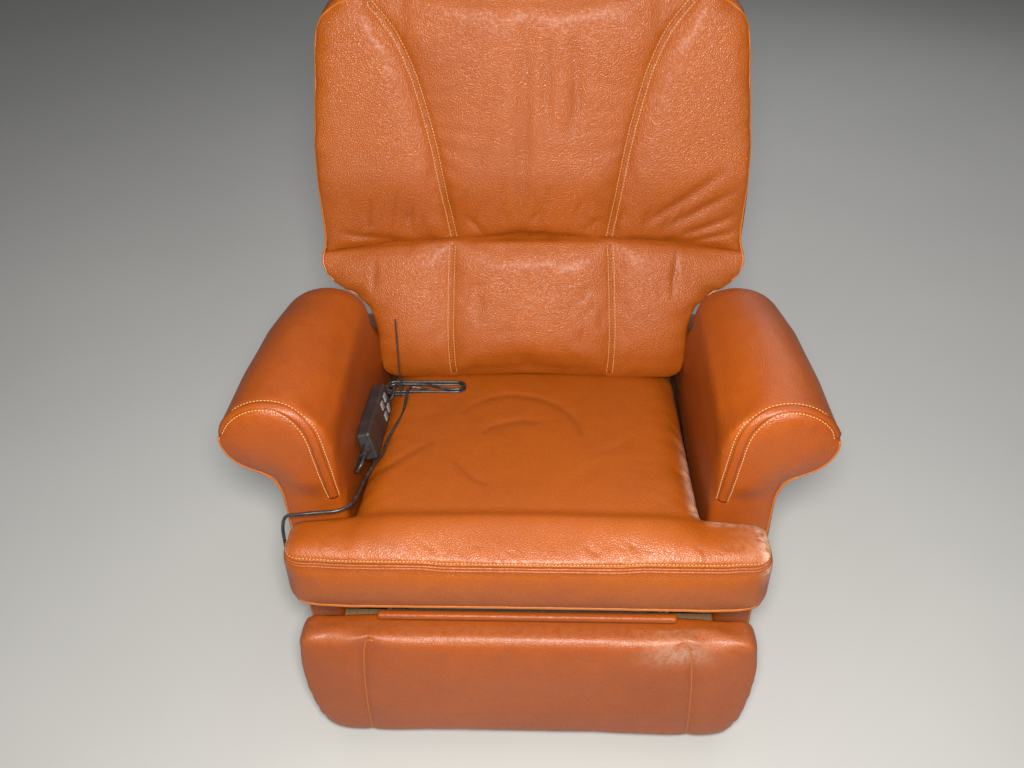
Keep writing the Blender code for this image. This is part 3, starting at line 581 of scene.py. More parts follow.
def steel_look(name, bright, dark, roughness, metallic, speckle):
    """Painted or plated steel, with rub marks, a fine orange peel and dust."""
    look = Look(name, Metallic=metallic)
    marks = look.range(look.noise(24.0, 5.0, 0.65), 0.42, 0.66)
    fine = look.noise(speckle, 2.0)
    colour = look.mix(marks, bright, dark)
    dust = look.range(look.noise(9.0, 4.0), 0.55, 0.8, 0.0, 0.25)
    colour = look.mix(dust, colour, rgb(0.3, 0.27, 0.23))
    rough = look.range(marks, 0.0, 1.0, roughness, roughness + 0.16)
    rough = look.plus(rough, look.times(dust, 0.4))
    normal = look.bump(fine, 0.2, 0.0003)
    return look.finish(colour, rough, normal)


def plastic_look(name, colour, rubbed, roughness):
    """Moulded plastic with a spark-eroded texture and shinier rubbed places."""
    look = Look(name, Specular_IOR_Level=0.45)
    patch = look.range(look.noise(45.0, 4.0), 0.45, 0.7)
    shade = look.mix(look.times(patch, 0.6), colour, rubbed)
    spark = look.cells(950.0)
    normal = look.bump(spark, 0.3, 0.00022)
    return look.finish(shade, look.range(patch, 0.0, 1.0, roughness, roughness - 0.12), normal)


def rubber_look():
    look = Look("cord_rubber", Specular_IOR_Level=0.5)
    scuffs = look.range(look.noise(120.0, 4.0), 0.48, 0.72)
    colour = look.mix(scuffs, rgb(0.012, 0.012, 0.013), rgb(0.04, 0.038, 0.036))
    normal = look.bump(look.noise(700.0, 2.0), 0.25, 0.0002)
    return look.finish(colour, look.range(scuffs, 0.0, 1.0, 0.34, 0.55), normal)


LEATHER_SEAT = leather("leather_seat", grain=0.75)
LEATHER_BACK = leather("leather_back", grain=1.15)
LEATHER_ARM = leather("leather_arm", rgb(0.285, 0.055, 0.0018), rgb(0.205, 0.033, 0.0012), 0.7)
LEATHER_FOOT = leather("leather_footrest", rgb(0.3, 0.058, 0.0018), rgb(0.215, 0.036, 0.0012), 0.65)
LEATHER_TRIM = leather("leather_trim", rgb(0.4, 0.11, 0.008), rgb(0.3, 0.068, 0.0035), 0.35)
LEATHER_BOARD = leather("leather_outside", rgb(0.29, 0.056, 0.002), rgb(0.21, 0.035, 0.0012), 0.8)
THREAD = thread_look()
PLYWOOD = plywood_look()
BLACK, BLACK_RUBBED = rgb(0.022, 0.022, 0.024), rgb(0.05, 0.05, 0.052)
ZINC, ZINC_DULL = rgb(0.56, 0.56, 0.57), rgb(0.4, 0.4, 0.42)
BLACK_STEEL = steel_look("black_steel_paint", BLACK, BLACK_RUBBED, 0.38, 0.35, 420.0)
ZINC_STEEL = steel_look("zinc_plate", ZINC, ZINC_DULL, 0.3, 0.95, 260.0)
SOOT, SOOT_RUBBED = rgb(0.016, 0.016, 0.017), rgb(0.035, 0.035, 0.037)
GREY, GREY_RUBBED = rgb(0.16, 0.16, 0.17), rgb(0.24, 0.24, 0.25)
BLACK_PLASTIC = plastic_look("black_plastic_moulded", SOOT, SOOT_RUBBED, 0.42)
GREY_PLASTIC = plastic_look("grey_plastic_moulded", GREY, GREY_RUBBED, 0.5)
RUBBER = rubber_look()
LOOKS = {
    "leather": LEATHER_TRIM,
    "plywood": PLYWOOD,
    "black_steel": BLACK_STEEL,
    "zinc_steel": ZINC_STEEL,
    "black_plastic": BLACK_PLASTIC,
    "grey_plastic": GREY_PLASTIC,
    "rubber": RUBBER,
}


def wear(obj, material):
    obj.data.materials.clear()
    obj.data.materials.append(material)
    return obj


def finish_nodes():
    """Every CAD node gets the detailed material of its slot."""
    for subpart in frame["record"]["subparts"]:
        wear(frame["nodes"][subpart["node"]], LOOKS[subpart["material_slot"]])


# ---- camera, light and floor


CAMERA_PLACE = (0.035, -1.269, 1.5)
CAMERA_TURN, CAMERA_DOWN, CAMERA_ROLL = radians(3.0), radians(39.53), radians(-1.63)


def place_camera():
    data = bpy.data.cameras.new("camera")
    data.sensor_width = 36.0
    data.lens = 34.31
    data.clip_end = 60.0
    camera = link(bpy.data.objects.new("camera", data))
    turn = Matrix.Rotation(CAMERA_TURN, 4, "Z")
    tip = Matrix.Rotation(pi / 2 - CAMERA_DOWN, 4, "X")
    roll = Matrix.Rotation(CAMERA_ROLL, 4, "Z")
    camera.matrix_world = Matrix.Translation(CAMERA_PLACE) @ turn @ tip @ roll
    SCENE.camera = camera


def area_light(name, place, target, size, power, colour=(1.0, 1.0, 1.0)):
    data = bpy.data.lights.new(name, "AREA")
    data.shape = "DISK"
    data.size = size
    data.energy = power
    data.color = colour
    light = link(bpy.data.objects.new(name, data))
    light.location = place
    light.rotation_mode = "QUATERNION"
    light.rotation_quaternion = (Vector(target) - Vector(place)).to_track_quat("-Z", "Y")


def light_studio():
    warm = (1.0, 0.96, 0.88)
    area_light("key", (0.05, -1.34, 1.66), (0.0, 0.05, 0.45), size=0.26, power=66.0, colour=warm)
    area_light("top", (0.0, 0.2, 3.0), (0.0, 0.0, 0.3), size=3.2, power=26.0)
    area_light("rear", (1.2, 2.4, 2.2), (0.0, 0.2, 0.5), size=2.2, power=18.0)
    world = bpy.data.worlds.new("studio")
    world.use_nodes = True
    background = world.node_tree.nodes["Background"]
    background.inputs["Color"].default_value = (0.92, 0.93, 0.95, 1.0)
    background.inputs["Strength"].default_value = 0.12
    SCENE.world = world
    SCENE.view_settings.view_transform = "Standard"


def lay_floor():
    half, gap = 9.0, 0.0005
    corners = [(-half, -half, 0), (half, -half, 0), (half, half, 0), (-half, half, 0)]
    floor = mesh_object("studio_floor", corners, [(0, 1, 2, 3)])
    floor.location.z = -gap
    look = Look("pale_floor")
    cloud = look.noise(1.8, 3.0)
    look.finish(look.mix(cloud, rgb(0.4, 0.4, 0.4), rgb(0.45, 0.45, 0.447)), 0.7)
    wear(floor, look.material)


# ---- handset cord


def on_seat(x, y, lift=0.0):
    """The cord's centre where it lies on the seat, just clear of it."""
    return Vector((x, y, seat_top(y) + CORD_R + 0.0006 + lift))


CORD_EXIT = Vector((-0.312, -0.3173, 0.3))
HANK_PLACE = Vector((-0.182, 0.02, seat_top(0.02)))
HANK_TURN = Matrix.Translation(HANK_PLACE) @ Matrix.Rotation(-SEAT_FALL, 4, "X")
HANDSET_END = Vector((-0.2478, -0.2066, 0.4802))


def cord_from_chair():
    """Out of the gland, up over the cushion's ear, and along the arm to the hank."""
    laid = (
        (-0.326, -0.322), (-0.3, -0.318), (-0.272, -0.314), (-0.255, -0.302), (-0.249, -0.28),
        (-0.245, -0.245), (-0.238, -0.205), (-0.2285, -0.17), (-0.226, -0.135), (-0.22, -0.095),
        (-0.2125, -0.05),
    )
    return [
        CORD_EXIT,
        CORD_EXIT + Vector((0, -0.007, 0)),
        CORD_EXIT + Vector((-0.011, -0.019, 0.008)),
        Vector((-0.345, -0.332, 0.335)),
        Vector((-0.3545, -0.328, 0.37)),
        Vector((-0.356, -0.322, 0.41)),
        Vector((-0.354, -0.32, 0.445)),
        Vector((-0.344, -0.322, 0.469)),
        *[on_seat(x, y) for x, y in laid],
        on_seat(-0.211, -0.018, 0.007),
    ]


def arc(x, y, radius, start, way, steps, z, rise=0.0):
    """Points on an arc about (x, y), 30 degrees apart from a start angle, climbing by rise a half turn."""
    angles = [start + way * i * pi / 6 for i in steps]
    return [(x + radius * cos(a), y + radius * sin(a), z + rise * i / 6) for i, a in zip(steps, angles)]


def cord_through_hank():
    """Over the front runs into the middle, two turns round the hank, and out over them again."""
    half, round_r, low, layer = 0.055, 0.0125, 0.0048, 0.0051
    top = low + 2 * layer
    entry_x, entry_y, exit_x, exit_y, turn_r = -0.029, -0.0158, -0.043, 0.0044, 0.01
    straight, quarter, half_turn = (0.03, 0.0, -0.03), range(1, 4), range(7)
    path = [(entry_x, entry_y, top)] + arc(entry_x + turn_r, entry_y, turn_r, pi, -1, quarter, top)
    path += [(-0.008, -0.0052, 0.0125), (0.006, -0.0015, 0.007), (0.022, 0.006, low), (0.038, 0.0112, low)]
    for z in (low, low + layer):
        path += arc(half, 0, round_r, pi / 2, -1, half_turn, z)
        path += [(x, -round_r, z) for x in straight]
        path += arc(-half, 0, round_r, -pi / 2, -1, half_turn, z, layer)
        path += [(-x, round_r, z + layer) for x in straight]
    path += arc(half, 0, round_r, pi / 2, -1, half_turn, top)
    path += [(0.038, -0.0115, top), (0.022, -0.006, top), (0.006, 0.001, top), (-0.01, 0.0042, top)]
    path += [(-0.026, exit_y, top), (exit_x, exit_y, top)]
    path += arc(exit_x, exit_y - turn_r, turn_r, pi / 2, 1, quarter, top)
    path.append((exit_x - turn_r, entry_y, top))
    return [HANK_TURN @ Vector(p) for p in path]


def cord_to_handset():
    """From the hank, past the handset on the arm's side and round its front end, in the other direction."""
    forward = Vector((0, -cos(SEAT_FALL), sin(SEAT_FALL)))
    laid = (
        (-0.2612, -0.208), (-0.2612, -0.18), (-0.2612, -0.12), (-0.261, -0.065), (-0.257, -0.038),
        (-0.2455, -0.02),
    )
    route = [
        HANDSET_END,
        HANDSET_END + forward * 0.009,
        Vector((-0.25, -0.2262, 0.4792)),
        Vector((-0.2562, -0.231, 0.4712)),
        Vector((-0.2602, -0.225, 0.463)),
        *[on_seat(x, y) for x, y in laid],
        on_seat(-0.2365, -0.008, 0.005),
    ]
    return route[::-1]


def make_cord():
    route = cord_from_chair() + cord_through_hank() + cord_to_handset()
    data = bpy.data.curves.new("handset_lead", "CURVE")
    data.dimensions = "3D"
    data.resolution_u = 8
    data.bevel_depth = CORD_R
    data.bevel_resolution = 3
    data.use_fill_caps = True
    spline = data.splines.new("BEZIER")
    spline.bezier_points.add(len(route) - 1)
    for knot, (point, along, before, after) in zip(spline.bezier_points, handles(route)):
        knot.handle_left_type = knot.handle_right_type = "FREE"
        knot.co = point
        knot.handle_left = point - along * before
        knot.handle_right = point + along * after
    cord = wear(link(bpy.data.objects.new("handset_lead", data)), RUBBER)
    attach(cord, "chair")
    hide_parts("handset_cord", "handset_cord_end", "handset_cord_hank")


# ---- seams, welts and stitches


def lay_bands(name, body, runs, wide=WELT, high=WELT, material=None):
    """Makes one cover's welts, folded seams or raised tapes, which ride with it."""
    band = mesh_object(name, *band_mesh([steadied(run) for run in runs], wide, high))
    wear(band, material or LEATHER_TRIM)
    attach(band, body)


def lay_stitches(name, body, rows):
    """Makes one cover's stitch rows, which ride with it."""
    stitches = mesh_object(name, *stitch_mesh([steadied(row) for row in rows]))
    wear(stitches, THREAD)
    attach(stitches, body)


def dress(cover, material, body, node):
    """A finished cover's material, the body that carries it, and the CAD solid that it stands for."""
    wear(cover, material)
    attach(cover, body)
    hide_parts(node)


def folds(seed, count, area, point_at, long, deep, wide, heading, spread):
    """Random shallow folds, each a line, a depth and a width. point_at gives the area's points."""
    draw = np.random.default_rng(seed)
    made = []
    for _ in range(count):
        a = draw.uniform(area[0], area[1])
        b = draw.uniform(area[2], area[3])
        angle = heading + draw.normal(0, spread)
        length = long * draw.uniform(0.6, 1.4)
        bend = draw.normal(0, 0.25)
        steps = np.linspace(-0.5, 0.5, 5) * length
        line = []
        for step in steps:
            turn = angle + bend * step / length
            line.append(point_at(a + step * cos(turn), b + step * sin(turn)))
        made.append((line, deep * draw.uniform(0.5, 1.2), wide * draw.uniform(0.7, 1.3)))
    return made


def placed(marks, point_at):
    """Listed folds with their points turned from two numbers each into places."""
    return [([point_at(a, b) for a, b in line], depth, width) for line, depth, width in marks]


def dropped(surface, lines, direction, dark):
    """Folds laid on a surface, tapered at both ends, with the strength of their painted shade, as carve takes
    them.
    """
    made = []
    for line, depth, width in lines:
        places, _ = surface.drop(smooth_line(line), direction)
        made.append((places, depth, width, 0.8, dark))
    return made


# ---- seat


SEAT_SEAM = (
    (0.362, -0.32, 0.467), (0.368, -0.352, 0.467), (0.356, -0.398, 0.466), (0.325, -0.418, 0.4635),
    (0.25, -0.422, 0.462), (0.12, -0.423, 0.4612), (0.0, -0.423, 0.461),
)
SEAT_WELT = (
    (0.366, -0.33, 0.35), (0.362, -0.372, 0.345), (0.338, -0.41, 0.339), (0.28, -0.422, 0.3355),
    (0.15, -0.424, 0.3345), (0.0, -0.424, 0.334),
)


SEAT_RIDGES = (-0.0035, -0.0082, -0.0129)  # below the seam


def both_sides(points):
    """A line across the middle, from its right half."""
    right = [Vector(p) for p in points]
    return right[:-1] + [Vector((-p.x, p.y, p.z)) for p in reversed(right)]


def shape_seat(seat):
    """Draws the front band in towards its lower edge and ends, and rounds the bend across the top."""
    draw_in, draw_back, draw_up, rear_gap, bend_reach = 0.018, 0.008, 0.007, 0.018, 0.1
    co = points_of(seat)
    front = eased(-co[:, 1], 0.3, 0.34)
    under = (1 - eased(co[:, 2], SEAT_LOW.z, SEAT_LOW.z + 0.055)) ** 1.5
    ends = eased(np.abs(co[:, 0]), 0.24, 0.34)
    co[:, 0] -= np.sign(co[:, 0]) * draw_in * under * ends * front
    co[:, 1] += draw_back * under * front
    co[:, 2] += draw_up * under * ends * front
    co[:, 1] += rear_gap * eased(co[:, 1], 0.04, 0.1)
    bend = np.clip(bend_reach - np.abs(co[:, 1] - SEAT_SLOPE_Y), 0, None) ** 2 / (4 * bend_reach)
    co[:, 2] -= SEAT_SLOPE * bend * eased(normals_of(seat)[:, 2], 0.2, 0.7)
    move_to(seat, co)


def scuff_seat(seat):
    """Rubs the hide pale on the front ear, along the right edge, and a little on the left ear."""
    co = points_of(seat)
    right, ahead = co[:, 0], -co[:, 1]
    ear_top = eased(co[:, 2], 0.405, 0.43) * eased(ahead, 0.28, 0.296)
    ear_top *= 1 - eased(ahead, 0.375, 0.398)
    worn = 1.3 * hump(right, 0.338, 0.012) * ear_top
    worn += 1.4 * hump(ahead, 0.313, 0.01) * ear_top * eased(right, 0.25, 0.27)
    worn += 0.22 * ear_top * eased(right, 0.26, 0.34)
    edge = eased(ahead, 0.06, 0.22) * (1 - eased(ahead, 0.295, 0.315))
    worn += hump(right, 0.246, 0.009) * edge * (co[:, 2] > 0.38)
    worn += 0.25 * hump(right, -0.34, 0.009) * ear_top
    paint(seat, "worn", np.clip(worn, 0, 1))


def make_seat():
    seat = copy_of("seat_cushion", "seat_cover")
    remeshed(seat, 0.003, 8)
    forward = Vector((0, -1, 0))
    shape_seat(seat)
    crowned(seat, forward, 0.008, 0.362, 0.04)
    seam_line = smooth_line(both_sides(SEAT_SEAM))
    welt_line = smooth_line(both_sides(SEAT_WELT))
    surface = Surface(seat)
    pins = [surface.drop(line)[0] for line in (seam_line, welt_line)]
    fill_out(seat, pins, (0.004, 0.006, 0.014), slack=0.01)
    refined(seat)

    surface = Surface(seat)
    seam, out = steadied(surface.drop(seam_line), 6)
    down = Vector((0, 0, -1))
    ridges = [steadied(surface.beside(seam, out, offset), 6) for offset in SEAT_RIDGES]
    # the last number of each groove is the painted shade along it
    lines = [(seam, 0.0016, 0.004, 0, 0.5)]
    lines += [(places, 0.001, 0.006, 0, 0.3) for places, _ in ridges]

    def on_top(x, y):
        return Vector((x, y, seat_top(y)))

    ring = [(-0.115, -0.06), (-0.08, -0.018), (-0.03, 0.0)]
    ring += [(0.03, -0.02), (0.07, -0.07), (0.085, -0.12)]
    marks = [
        (ring, 0.0016, 0.009),
        ([(-0.075, -0.115), (-0.05, -0.09), (-0.015, -0.078), (0.015, -0.085)], 0.0016, 0.009),
        ([(-0.115, -0.19), (-0.085, -0.23), (-0.06, -0.25)], 0.0012, 0.008),
        ([(-0.225, -0.215), (-0.185, -0.17), (-0.15, -0.14)], 0.0014, 0.009),
    ]
    lines += dropped(surface, placed(marks, on_top), down, 0.35)
    hollows = folds(3, 14, (-0.22, 0.22, -0.28, 0.03), on_top, 0.09, 0.0008, 0.012, 0.6, 0.9)
    lines += dropped(surface, hollows, down, 0.06)
    creases = folds(4, 44, (-0.31, 0.31, -0.378, -0.366), on_top, 0.022, 0.0007, 0.0032, 2.3, 0.3)
    lines += dropped(surface, creases, down, 0.14)
    carve(seat, lines)

    scuff_seat(seat)
    dress(seat, LEATHER_SEAT, "chair", "seat_cushion")

    surface = Surface(seat)
    seam, out = steadied(surface.drop(seam_line), 6)
    ridges = [sunk(surface.beside(seam, out, offset), 0.0007) for offset in SEAT_RIDGES]
    lay_bands("seat_ridges", "chair", ridges, 0.004, 0.0034, LEATHER_SEAT)
    lay_stitches("seat_stitches", "chair", [(seam, out)])
    lay_bands("seat_welt", "chair", [sunk(surface.drop(welt_line), 0.0005)], 0.0066, 0.0066)


# ---- backrest


def before_back(across, up):
    """A point in front of the backrest, from which lines drop onto it."""
    return back_point(across, up, -0.12)


UPPER_SEAM = (
    (0.246, 0.65), (0.214, 0.61), (0.19, 0.56), (0.172, 0.5), (0.156, 0.43), (0.143, 0.35),
    (0.131, 0.276),
)
LUMBAR_SEAM = ((0.132, 0.268), (0.134, 0.24), (0.136, 0.19), (0.138, 0.11), (0.136, 0.045))
FRONT_PIPING = (
    (0.262, 0.04), (0.267, 0.09), (0.27, 0.14), (0.284, 0.165), (0.317, 0.188), (0.347, 0.21),
    (0.361, 0.24), (0.362, 0.345), (0.36, 0.44), (0.355, 0.53), (0.341, 0.592), (0.314, 0.634),
    (0.265, 0.655), (0.14, 0.662), (0.0, 0.664),
)
REAR_WELT = (
    (0.259, 0.086), (0.259, 0.14), (0.273, 0.172), (0.305, 0.192), (0.339, 0.211), (0.356, 0.24),
    (0.358, 0.345), (0.357, 0.42), (0.351, 0.52), (0.342, 0.585), (0.33, 0.626), (0.3, 0.66),
    (0.247, 0.68), (0.0, 0.681),
)


def back_axes(co):
    """Points as across, up and deep in the backrest's own axes."""
    from_hinge = co - np.array(BACK_HINGE)
    return co[:, 0].copy(), from_hinge @ np.array(UP_BACK), from_hinge @ np.array(INTO_BACK)


def set_back_axes(obj, across, up, deep):
    co = np.array(BACK_HINGE) + np.outer(up, np.array(UP_BACK)) + np.outer(deep, np.array(INTO_BACK))
    co[:, 0] = across
    move_to(obj, co)


def crease(across):
    """How far up the backrest the two cushions meet: an arch."""
    return 0.273 - 0.16 * across**2


def panel_seams(surface, points):
    """Both copies of a panel seam on a surface, as (places, normals)."""
    lines = [smooth_line([before_back(sign * x, u) for x, u in points]) for sign in (1, -1)]
    return [surface.drop(line, INTO_BACK) for line in lines]


def seam_rows(surface, seams, offset):
    """The stitch rows on both sides of seams."""
    return [surface.beside(places, out, side * offset) for places, out in seams for side in (1, -1)]


def shape_back_cushion(cover):
    """Brings its lower edge to the crease, where its face turns in."""
    across, up, deep = back_axes(points_of(cover))
    low = up.min()
    face = eased(-deep, 0.01, 0.05)
    near = 1 - eased(up, low + 0.025, low + 0.085)
    turn = 1 - eased(up, low + 0.006, low + 0.135)
    sides = eased(np.abs(across), 0.2, 0.36)
    deep = deep + 0.02 * turn * face - 0.004 * face * (1 - sides)
    set_back_axes(cover, across, up + (crease(across) - 0.007 - low) * near, deep)


def filled_cover(node, name, relax, shape, seam, cap):
    """A back cushion's cover, shaped, and filled out between its panel seams."""
    cover = copy_of(node, name)
    remeshed(cover, 0.002, relax)
    shape(cover)
    pins = [places for places, _ in panel_seams(Surface(cover), seam)]
    fill_out(cover, pins, cap, slack=0.02)
    refined(cover)
    return cover


def make_back_cushion():
    cap = (0.004, 0.012, 0.006)
    cover = filled_cover("back_cushion", "back_cover", 5, shape_back_cushion, UPPER_SEAM, cap)
    surface = Surface(cover)
    seams = panel_seams(surface, UPPER_SEAM)
    lines = [(places, 0.0034, 0.0075, 0, 0.3) for places, _ in seams]
    tall = [
        ([(-0.006, 0.64), (-0.008, 0.54), (-0.012, 0.43), (-0.018, 0.3)], 0.0052, 0.014),
        ([(0.028, 0.6), (0.024, 0.5), (0.03, 0.44)], 0.004, 0.011),
        ([(0.067, 0.6), (0.073, 0.5), (0.06, 0.44)], 0.0046, 0.012),
        ([(-0.06, 0.46), (-0.085, 0.4), (-0.11, 0.35)], 0.0018, 0.012),
        ([(-0.045, 0.4), (-0.05, 0.34), (-0.06, 0.29)], 0.0016, 0.008),
        ([(0.03, 0.37), (0.02, 0.32), (0.01, 0.29)], 0.0016, 0.008),
    ]
    fans = [
        ([(0.32, 0.4), (0.25, 0.345), (0.18, 0.3)], 0.0034, 0.009),
        ([(0.335, 0.36), (0.275, 0.325), (0.215, 0.29)], 0.0032, 0.008),
        ([(0.34, 0.32), (0.3, 0.3), (0.25, 0.282)], 0.0032, 0.007),
        ([(0.345, 0.29), (0.31, 0.28), (0.27, 0.272)], 0.0026, 0.006),
        ([(-0.325, 0.29), (-0.29, 0.28), (-0.23, 0.278)], 0.003, 0.007),
        ([(-0.22, 0.36), (-0.232, 0.315), (-0.24, 0.28)], 0.0016, 0.006),
        ([(-0.265, 0.35), (-0.272, 0.315), (-0.275, 0.278)], 0.0016, 0.005),
        ([(-0.195, 0.34), (-0.2, 0.305), (-0.195, 0.28)], 0.0014, 0.005),
        ([(-0.11, 0.32), (-0.09, 0.295), (-0.075, 0.28)], 0.002, 0.006),
    ]
    # each group's second number is the painted shade in its folds
    for marks, dark in ((tall, 0.12), (fans, 0.18)):
        lines += dropped(surface, placed(marks, before_back), INTO_BACK, dark)
    gathers = folds(7, 24, (-0.3, 0.3, 0.29, 0.33), before_back, 0.04, 0.001, 0.005, 1.35, 0.35)
    lines += dropped(surface, gathers, INTO_BACK, 0.1)
    hollows = folds(8, 8, (-0.3, 0.3, 0.36, 0.6), before_back, 0.12, 0.0007, 0.016, 1.45, 0.3)
    lines += dropped(surface, hollows, INTO_BACK, 0.03)
    carve(cover, lines)
    dress(cover, LEATHER_BACK, "backrest", "back_cushion")
    lay_panel_seams("back", Surface(cover), UPPER_SEAM)
    return cover


def lay_panel_seams(name, surface, points):
    """The folded edge and the two stitch rows of each panel seam."""
    seams = panel_seams(surface, points)
    runs = [sunk(seam, 0.0002) for seam in seams]
    lay_bands(f"{name}_seam_folds", "backrest", runs, 0.0034, 0.0026, LEATHER_BACK)
    lay_stitches(f"{name}_stitches", "backrest", seam_rows(surface, seams, 0.0055))


LUMBAR_CAD_SIDE = ((0.14, 0.258), (0.172, 0.2726), (0.192, 0.305), (0.211, 0.3386), (0.24, 0.356))
LUMBAR_SIDE = (
    (0.03, 0.266), (0.115, 0.268), (0.14, 0.274), (0.165, 0.29), (0.185, 0.318), (0.205, 0.345),
    (0.237, 0.36),
)


def half_width(height, side):
    """Half of a width that changes with height, read from pairs of height and half width."""
    return np.interp(height, *zip(*side))


def shape_lumbar_cushion(cover):
    """Arches its top edge to the crease, rounds its face into a roll, and widens it to the arms."""
    across, up, deep = back_axes(points_of(cover))
    low, high = up.min(), up.max()
    face = eased(-deep, 0.0, 0.07)
    across = across * half_width(up, LUMBAR_SIDE) / half_width(up, LUMBAR_CAD_SIDE)
    roll = 0.032 * (np.maximum(up - 0.1, 0) / 0.155) ** 1.5
    roll = roll + 0.016 * (np.maximum(0.095 - up, 0) / 0.065) ** 2
    wing = 0.018 * eased(np.abs(across), 0.18, 0.345)
    near = eased(up, high - 0.065, high)
    foot = 1 - eased(up, low, low + 0.05)
    up = up + (crease(across) + 0.004 - high) * near - 0.008 * foot * face
    set_back_axes(cover, across, up, deep + (roll + wing) * face)


def make_lumbar_cushion():
    cap = (0.003, 0.012, 0.004)
    cover = filled_cover("lumbar_cushion", "lumbar_cover", 6, shape_lumbar_cushion, LUMBAR_SEAM, cap)

    def on_back(x, u):
        return back_point(x, u, -0.15)

    surface = Surface(cover)
    seams = panel_seams(surface, LUMBAR_SEAM)
    lines = [(places, 0.0026, 0.0065, 0, 0.3) for places, _ in seams]
    middle = folds(11, 20, (-0.12, 0.12, 0.09, 0.21), on_back, 0.06, 0.001, 0.007, 1.2, 0.5)
    lines += dropped(surface, middle, INTO_BACK, 0.08)
    wide = folds(12, 12, (-0.25, 0.25, 0.06, 0.22), on_back, 0.08, 0.0009, 0.01, 1.3, 0.6)
    lines += dropped(surface, wide, INTO_BACK, 0.05)
    short = [
        ([(0.243, 0.262), (0.24, 0.225), (0.236, 0.18)], 0.0034, 0.0055),
        ([(-0.262, 0.245), (-0.266, 0.215), (-0.268, 0.19)], 0.002, 0.006),
    ]
    lines += dropped(surface, placed(short, on_back), INTO_BACK, 0.35)
    carve(cover, lines)
    dress(cover, LEATHER_BACK, "backrest", "lumbar_cushion")
    lay_panel_seams("lumbar", Surface(cover), LUMBAR_SEAM)
    return cover


def edge_run(surface, points, deep):
    """A welt's run along the backrest's edge, from its right half, at a depth."""
    line = smooth_line(both_sides([back_point(x, u, deep) for x, u in points]))
    return steadied(surface.drop(line), 8)


def covered_board(node, name, body, voxel, full=0.0):
    """A board or tray covered in leather, with soft edges. A full one has a rounded rear face."""
    cover = copy_of(node, name)
    remeshed(cover, 0.0003, 3, voxel)
    if full:
        rear_face = (points_of(cover) @ np.array(INTO_BACK)).max()
        crowned(cover, INTO_BACK, full, rear_face - 0.03, 0.09)
    dress(cover, LEATHER_BOARD, body, node)
    return cover


def make_outside_back(back, lumbar):
    """The piping in front, and the covered tray, its welt and the skirt behind."""
    lay_bands("back_piping", "backrest", [edge_run(Surface(back, lumbar), FRONT_PIPING, -0.066)])
    shell = covered_board("back_shell", "back_shell_cover", "backrest", 0.004, full=0.006)
    surface = Surface(shell)
    lay_bands("back_shell_welt", "backrest", [edge_run(surface, REAR_WELT, 0.0935)])
    line = smooth_line([back_point(x, 0.46, 0.12) for x in (-0.352, -0.18, 0.0, 0.18, 0.352)])
    seam = steadied(surface.drop(line, -INTO_BACK), 6)
    lay_bands("back_shell_seam", "backrest", [sunk(seam, 0.0006)], 0.0042, 0.003, LEATHER_BOARD)
    rows = [surface.beside(seam[0], seam[1], offset) for offset in (0.0052, -0.0052)]
    lay_stitches("back_shell_stitches", "backrest", rows)
    covered_board("back_skirt", "back_skirt_cover", "backrest", 0.0025)


# ---- arms

ARM_SEAM = (
    (0.276, -0.303, 0.48), (0.285, -0.303, 0.56), (0.293, -0.301, 0.612), (0.311, -0.296, 0.64),
    (0.335, -0.29, 0.652), (0.362, -0.288, 0.655), (0.392, -0.289, 0.648), (0.414, -0.291, 0.63),
    (0.427, -0.295, 0.606),
)
ARM_WELT = (
    (0.432, -0.3, 0.6), (0.43, -0.302, 0.575), (0.416, -0.302, 0.546), (0.396, -0.302, 0.526),
    (0.379, -0.302, 0.508), (0.369, -0.302, 0.48), (0.362, -0.302, 0.44), (0.36, -0.302, 0.36),
    (0.36, -0.302, 0.2), (0.36, -0.302, 0.07),
)


def flipped(points, sign):
    return [Vector((sign * x, y, z)) for x, y, z in points]


def on_roll(co):
    """1 on the arm's rolled top, and 0 on the panel under it."""
    return eased(co[:, 2], 0.475, 0.52)


def make_arm(side, sign):
    arm = copy_of(f"arm_{side}", f"arm_cover_{side}")
    remeshed(arm, 0.002, 8, 0.007)
    crowned(arm, Vector((0, -1, 0)), 0.011, 0.27, 0.028, on_roll)
    seam_line = smooth_line(flipped(ARM_SEAM, sign))
    fill_out(arm, [Surface(arm).drop(seam_line)[0]], (0.003, 0.004, 0.004), pressure=3.0)
    refined(arm)
    surface = Surface(arm)
    seam, out = steadied(surface.drop(seam_line), 6)
    sides = [steadied(surface.beside(seam, out, offset)) for offset in (0.0085, -0.0085)]
    carve(arm, [(places, 0.0012, 0.004, 0, 0.35) for places, _ in sides])
    dress(arm, LEATHER_ARM, "chair", f"arm_{side}")
    surface = Surface(arm)
    tape = steadied(surface.drop(seam_line), 6)
    rows = [surface.beside(tape[0], tape[1], offset) for offset in (0.0095, -0.0095)]
    lay_bands(f"arm_tape_{side}", "chair", [sunk(tape, 0.0004)], 0.012, 0.0042, LEATHER_ARM)
    lay_stitches(f"arm_stitches_{side}", "chair", rows)
    welt = steadied(surface.drop(smooth_line(flipped(ARM_WELT, sign))), 8)
    lay_bands(f"arm_welt_{side}", "chair", [welt])


# ---- footrest

FOOT_SEAM = ((0.236, 0.296), (0.243, 0.27), (0.249, 0.21), (0.253, 0.14), (0.256, 0.05))
FOOT_CAD_SIDE = ((0.04, 0.333), (0.3, 0.35))
FOOT_SIDE = (
    (0.04, 0.296), (0.052, 0.322), (0.07, 0.338), (0.1, 0.346), (0.16, 0.35), (0.24, 0.348),
    (0.3, 0.341),
)


def before_footrest(x, z):
    """A point in front of the footrest, from which lines drop onto it."""
    return Vector((x, -0.43, z))


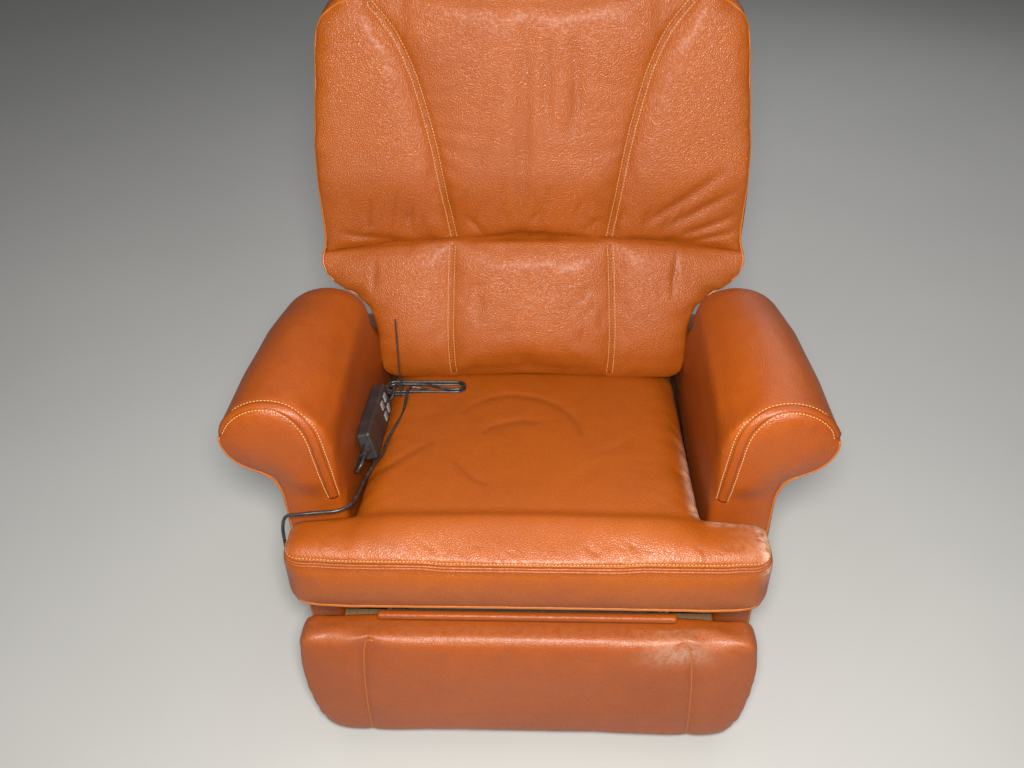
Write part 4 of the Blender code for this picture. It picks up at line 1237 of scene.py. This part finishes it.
def shape_footrest(pad):
    """Fills out the lower corners, and draws the upper ones in a little."""
    co = points_of(pad)
    corner = 0.058
    below = np.clip(FOOT_CAD_SIDE[0][0] + corner - co[:, 2], 0, corner)
    was = half_width(co[:, 2], FOOT_CAD_SIDE) - (corner - np.sqrt(corner**2 - below**2))
    wide = half_width(co[:, 2], FOOT_SIDE)
    co[:, 0] *= 1 + (wide / was - 1) * eased(np.abs(co[:, 0]), 0.1, 0.25)
    move_to(pad, co)


def make_footrest():
    pad = copy_of("footrest_pad", "footrest_cover")
    remeshed(pad, 0.002, 16, 0.005)
    into = Vector((0, 1, 0))
    shape_footrest(pad)
    crowned(pad, -into, 0.006, 0.372, 0.05)
    seam_lines = [smooth_line([before_footrest(sign * x, z) for x, z in FOOT_SEAM]) for sign in (1, -1)]
    surface = Surface(pad)
    pins = [surface.drop(line, into)[0] for line in seam_lines]
    fill_out(pad, pins, (0.004, 0.006, 0.005), slack=0.01, calm=8)
    refined(pad)
    surface = Surface(pad)
    lines = [(surface.drop(line, into)[0], 0.0022, 0.006, 0, 0.3) for line in seam_lines]
    upper = folds(21, 12, (-0.3, 0.3, 0.24, 0.285), before_footrest, 0.05, 0.0006, 0.008, 1.0, 0.7)
    lines += dropped(surface, upper, into, 0.06)
    lower = folds(22, 8, (-0.3, 0.3, 0.08, 0.24), before_footrest, 0.1, 0.0005, 0.013, 0.3, 0.9)
    lines += dropped(surface, lower, into, 0.03)
    carve(pad, lines)
    co = points_of(pad)
    top = hump(co[:, 2], 0.292, 0.01) * eased(-co[:, 1], 0.36, 0.385)
    patch = hump(co[:, 0], 0.225, 0.045) * hump(co[:, 2], 0.272, 0.022)
    paint(pad, "worn", np.clip(0.08 * top + 0.55 * patch * (co[:, 1] < -0.38), 0, 1))
    dress(pad, LEATHER_FOOT, "footrest", "footrest_pad")
    surface = Surface(pad)
    runs = [sunk(surface.drop(line, into), 0.0004) for line in seam_lines]
    lay_bands("footrest_seam_folds", "footrest", runs, 0.003, 0.0024, LEATHER_TRIM)


# ---- build


def main():
    place_camera()
    finish_nodes()
    make_cord()
    light_studio()
    lay_floor()
    make_seat()
    make_outside_back(make_back_cushion(), make_lumbar_cushion())
    for side, sign in (("left", -1), ("right", 1)):
        make_arm(side, sign)
    make_footrest()
    covered_board("seat_front_trim", "seat_front_strip", "chair", 0.002)
    covered_board("rear_apron", "rear_apron_cover", "chair", 0.003)


main()
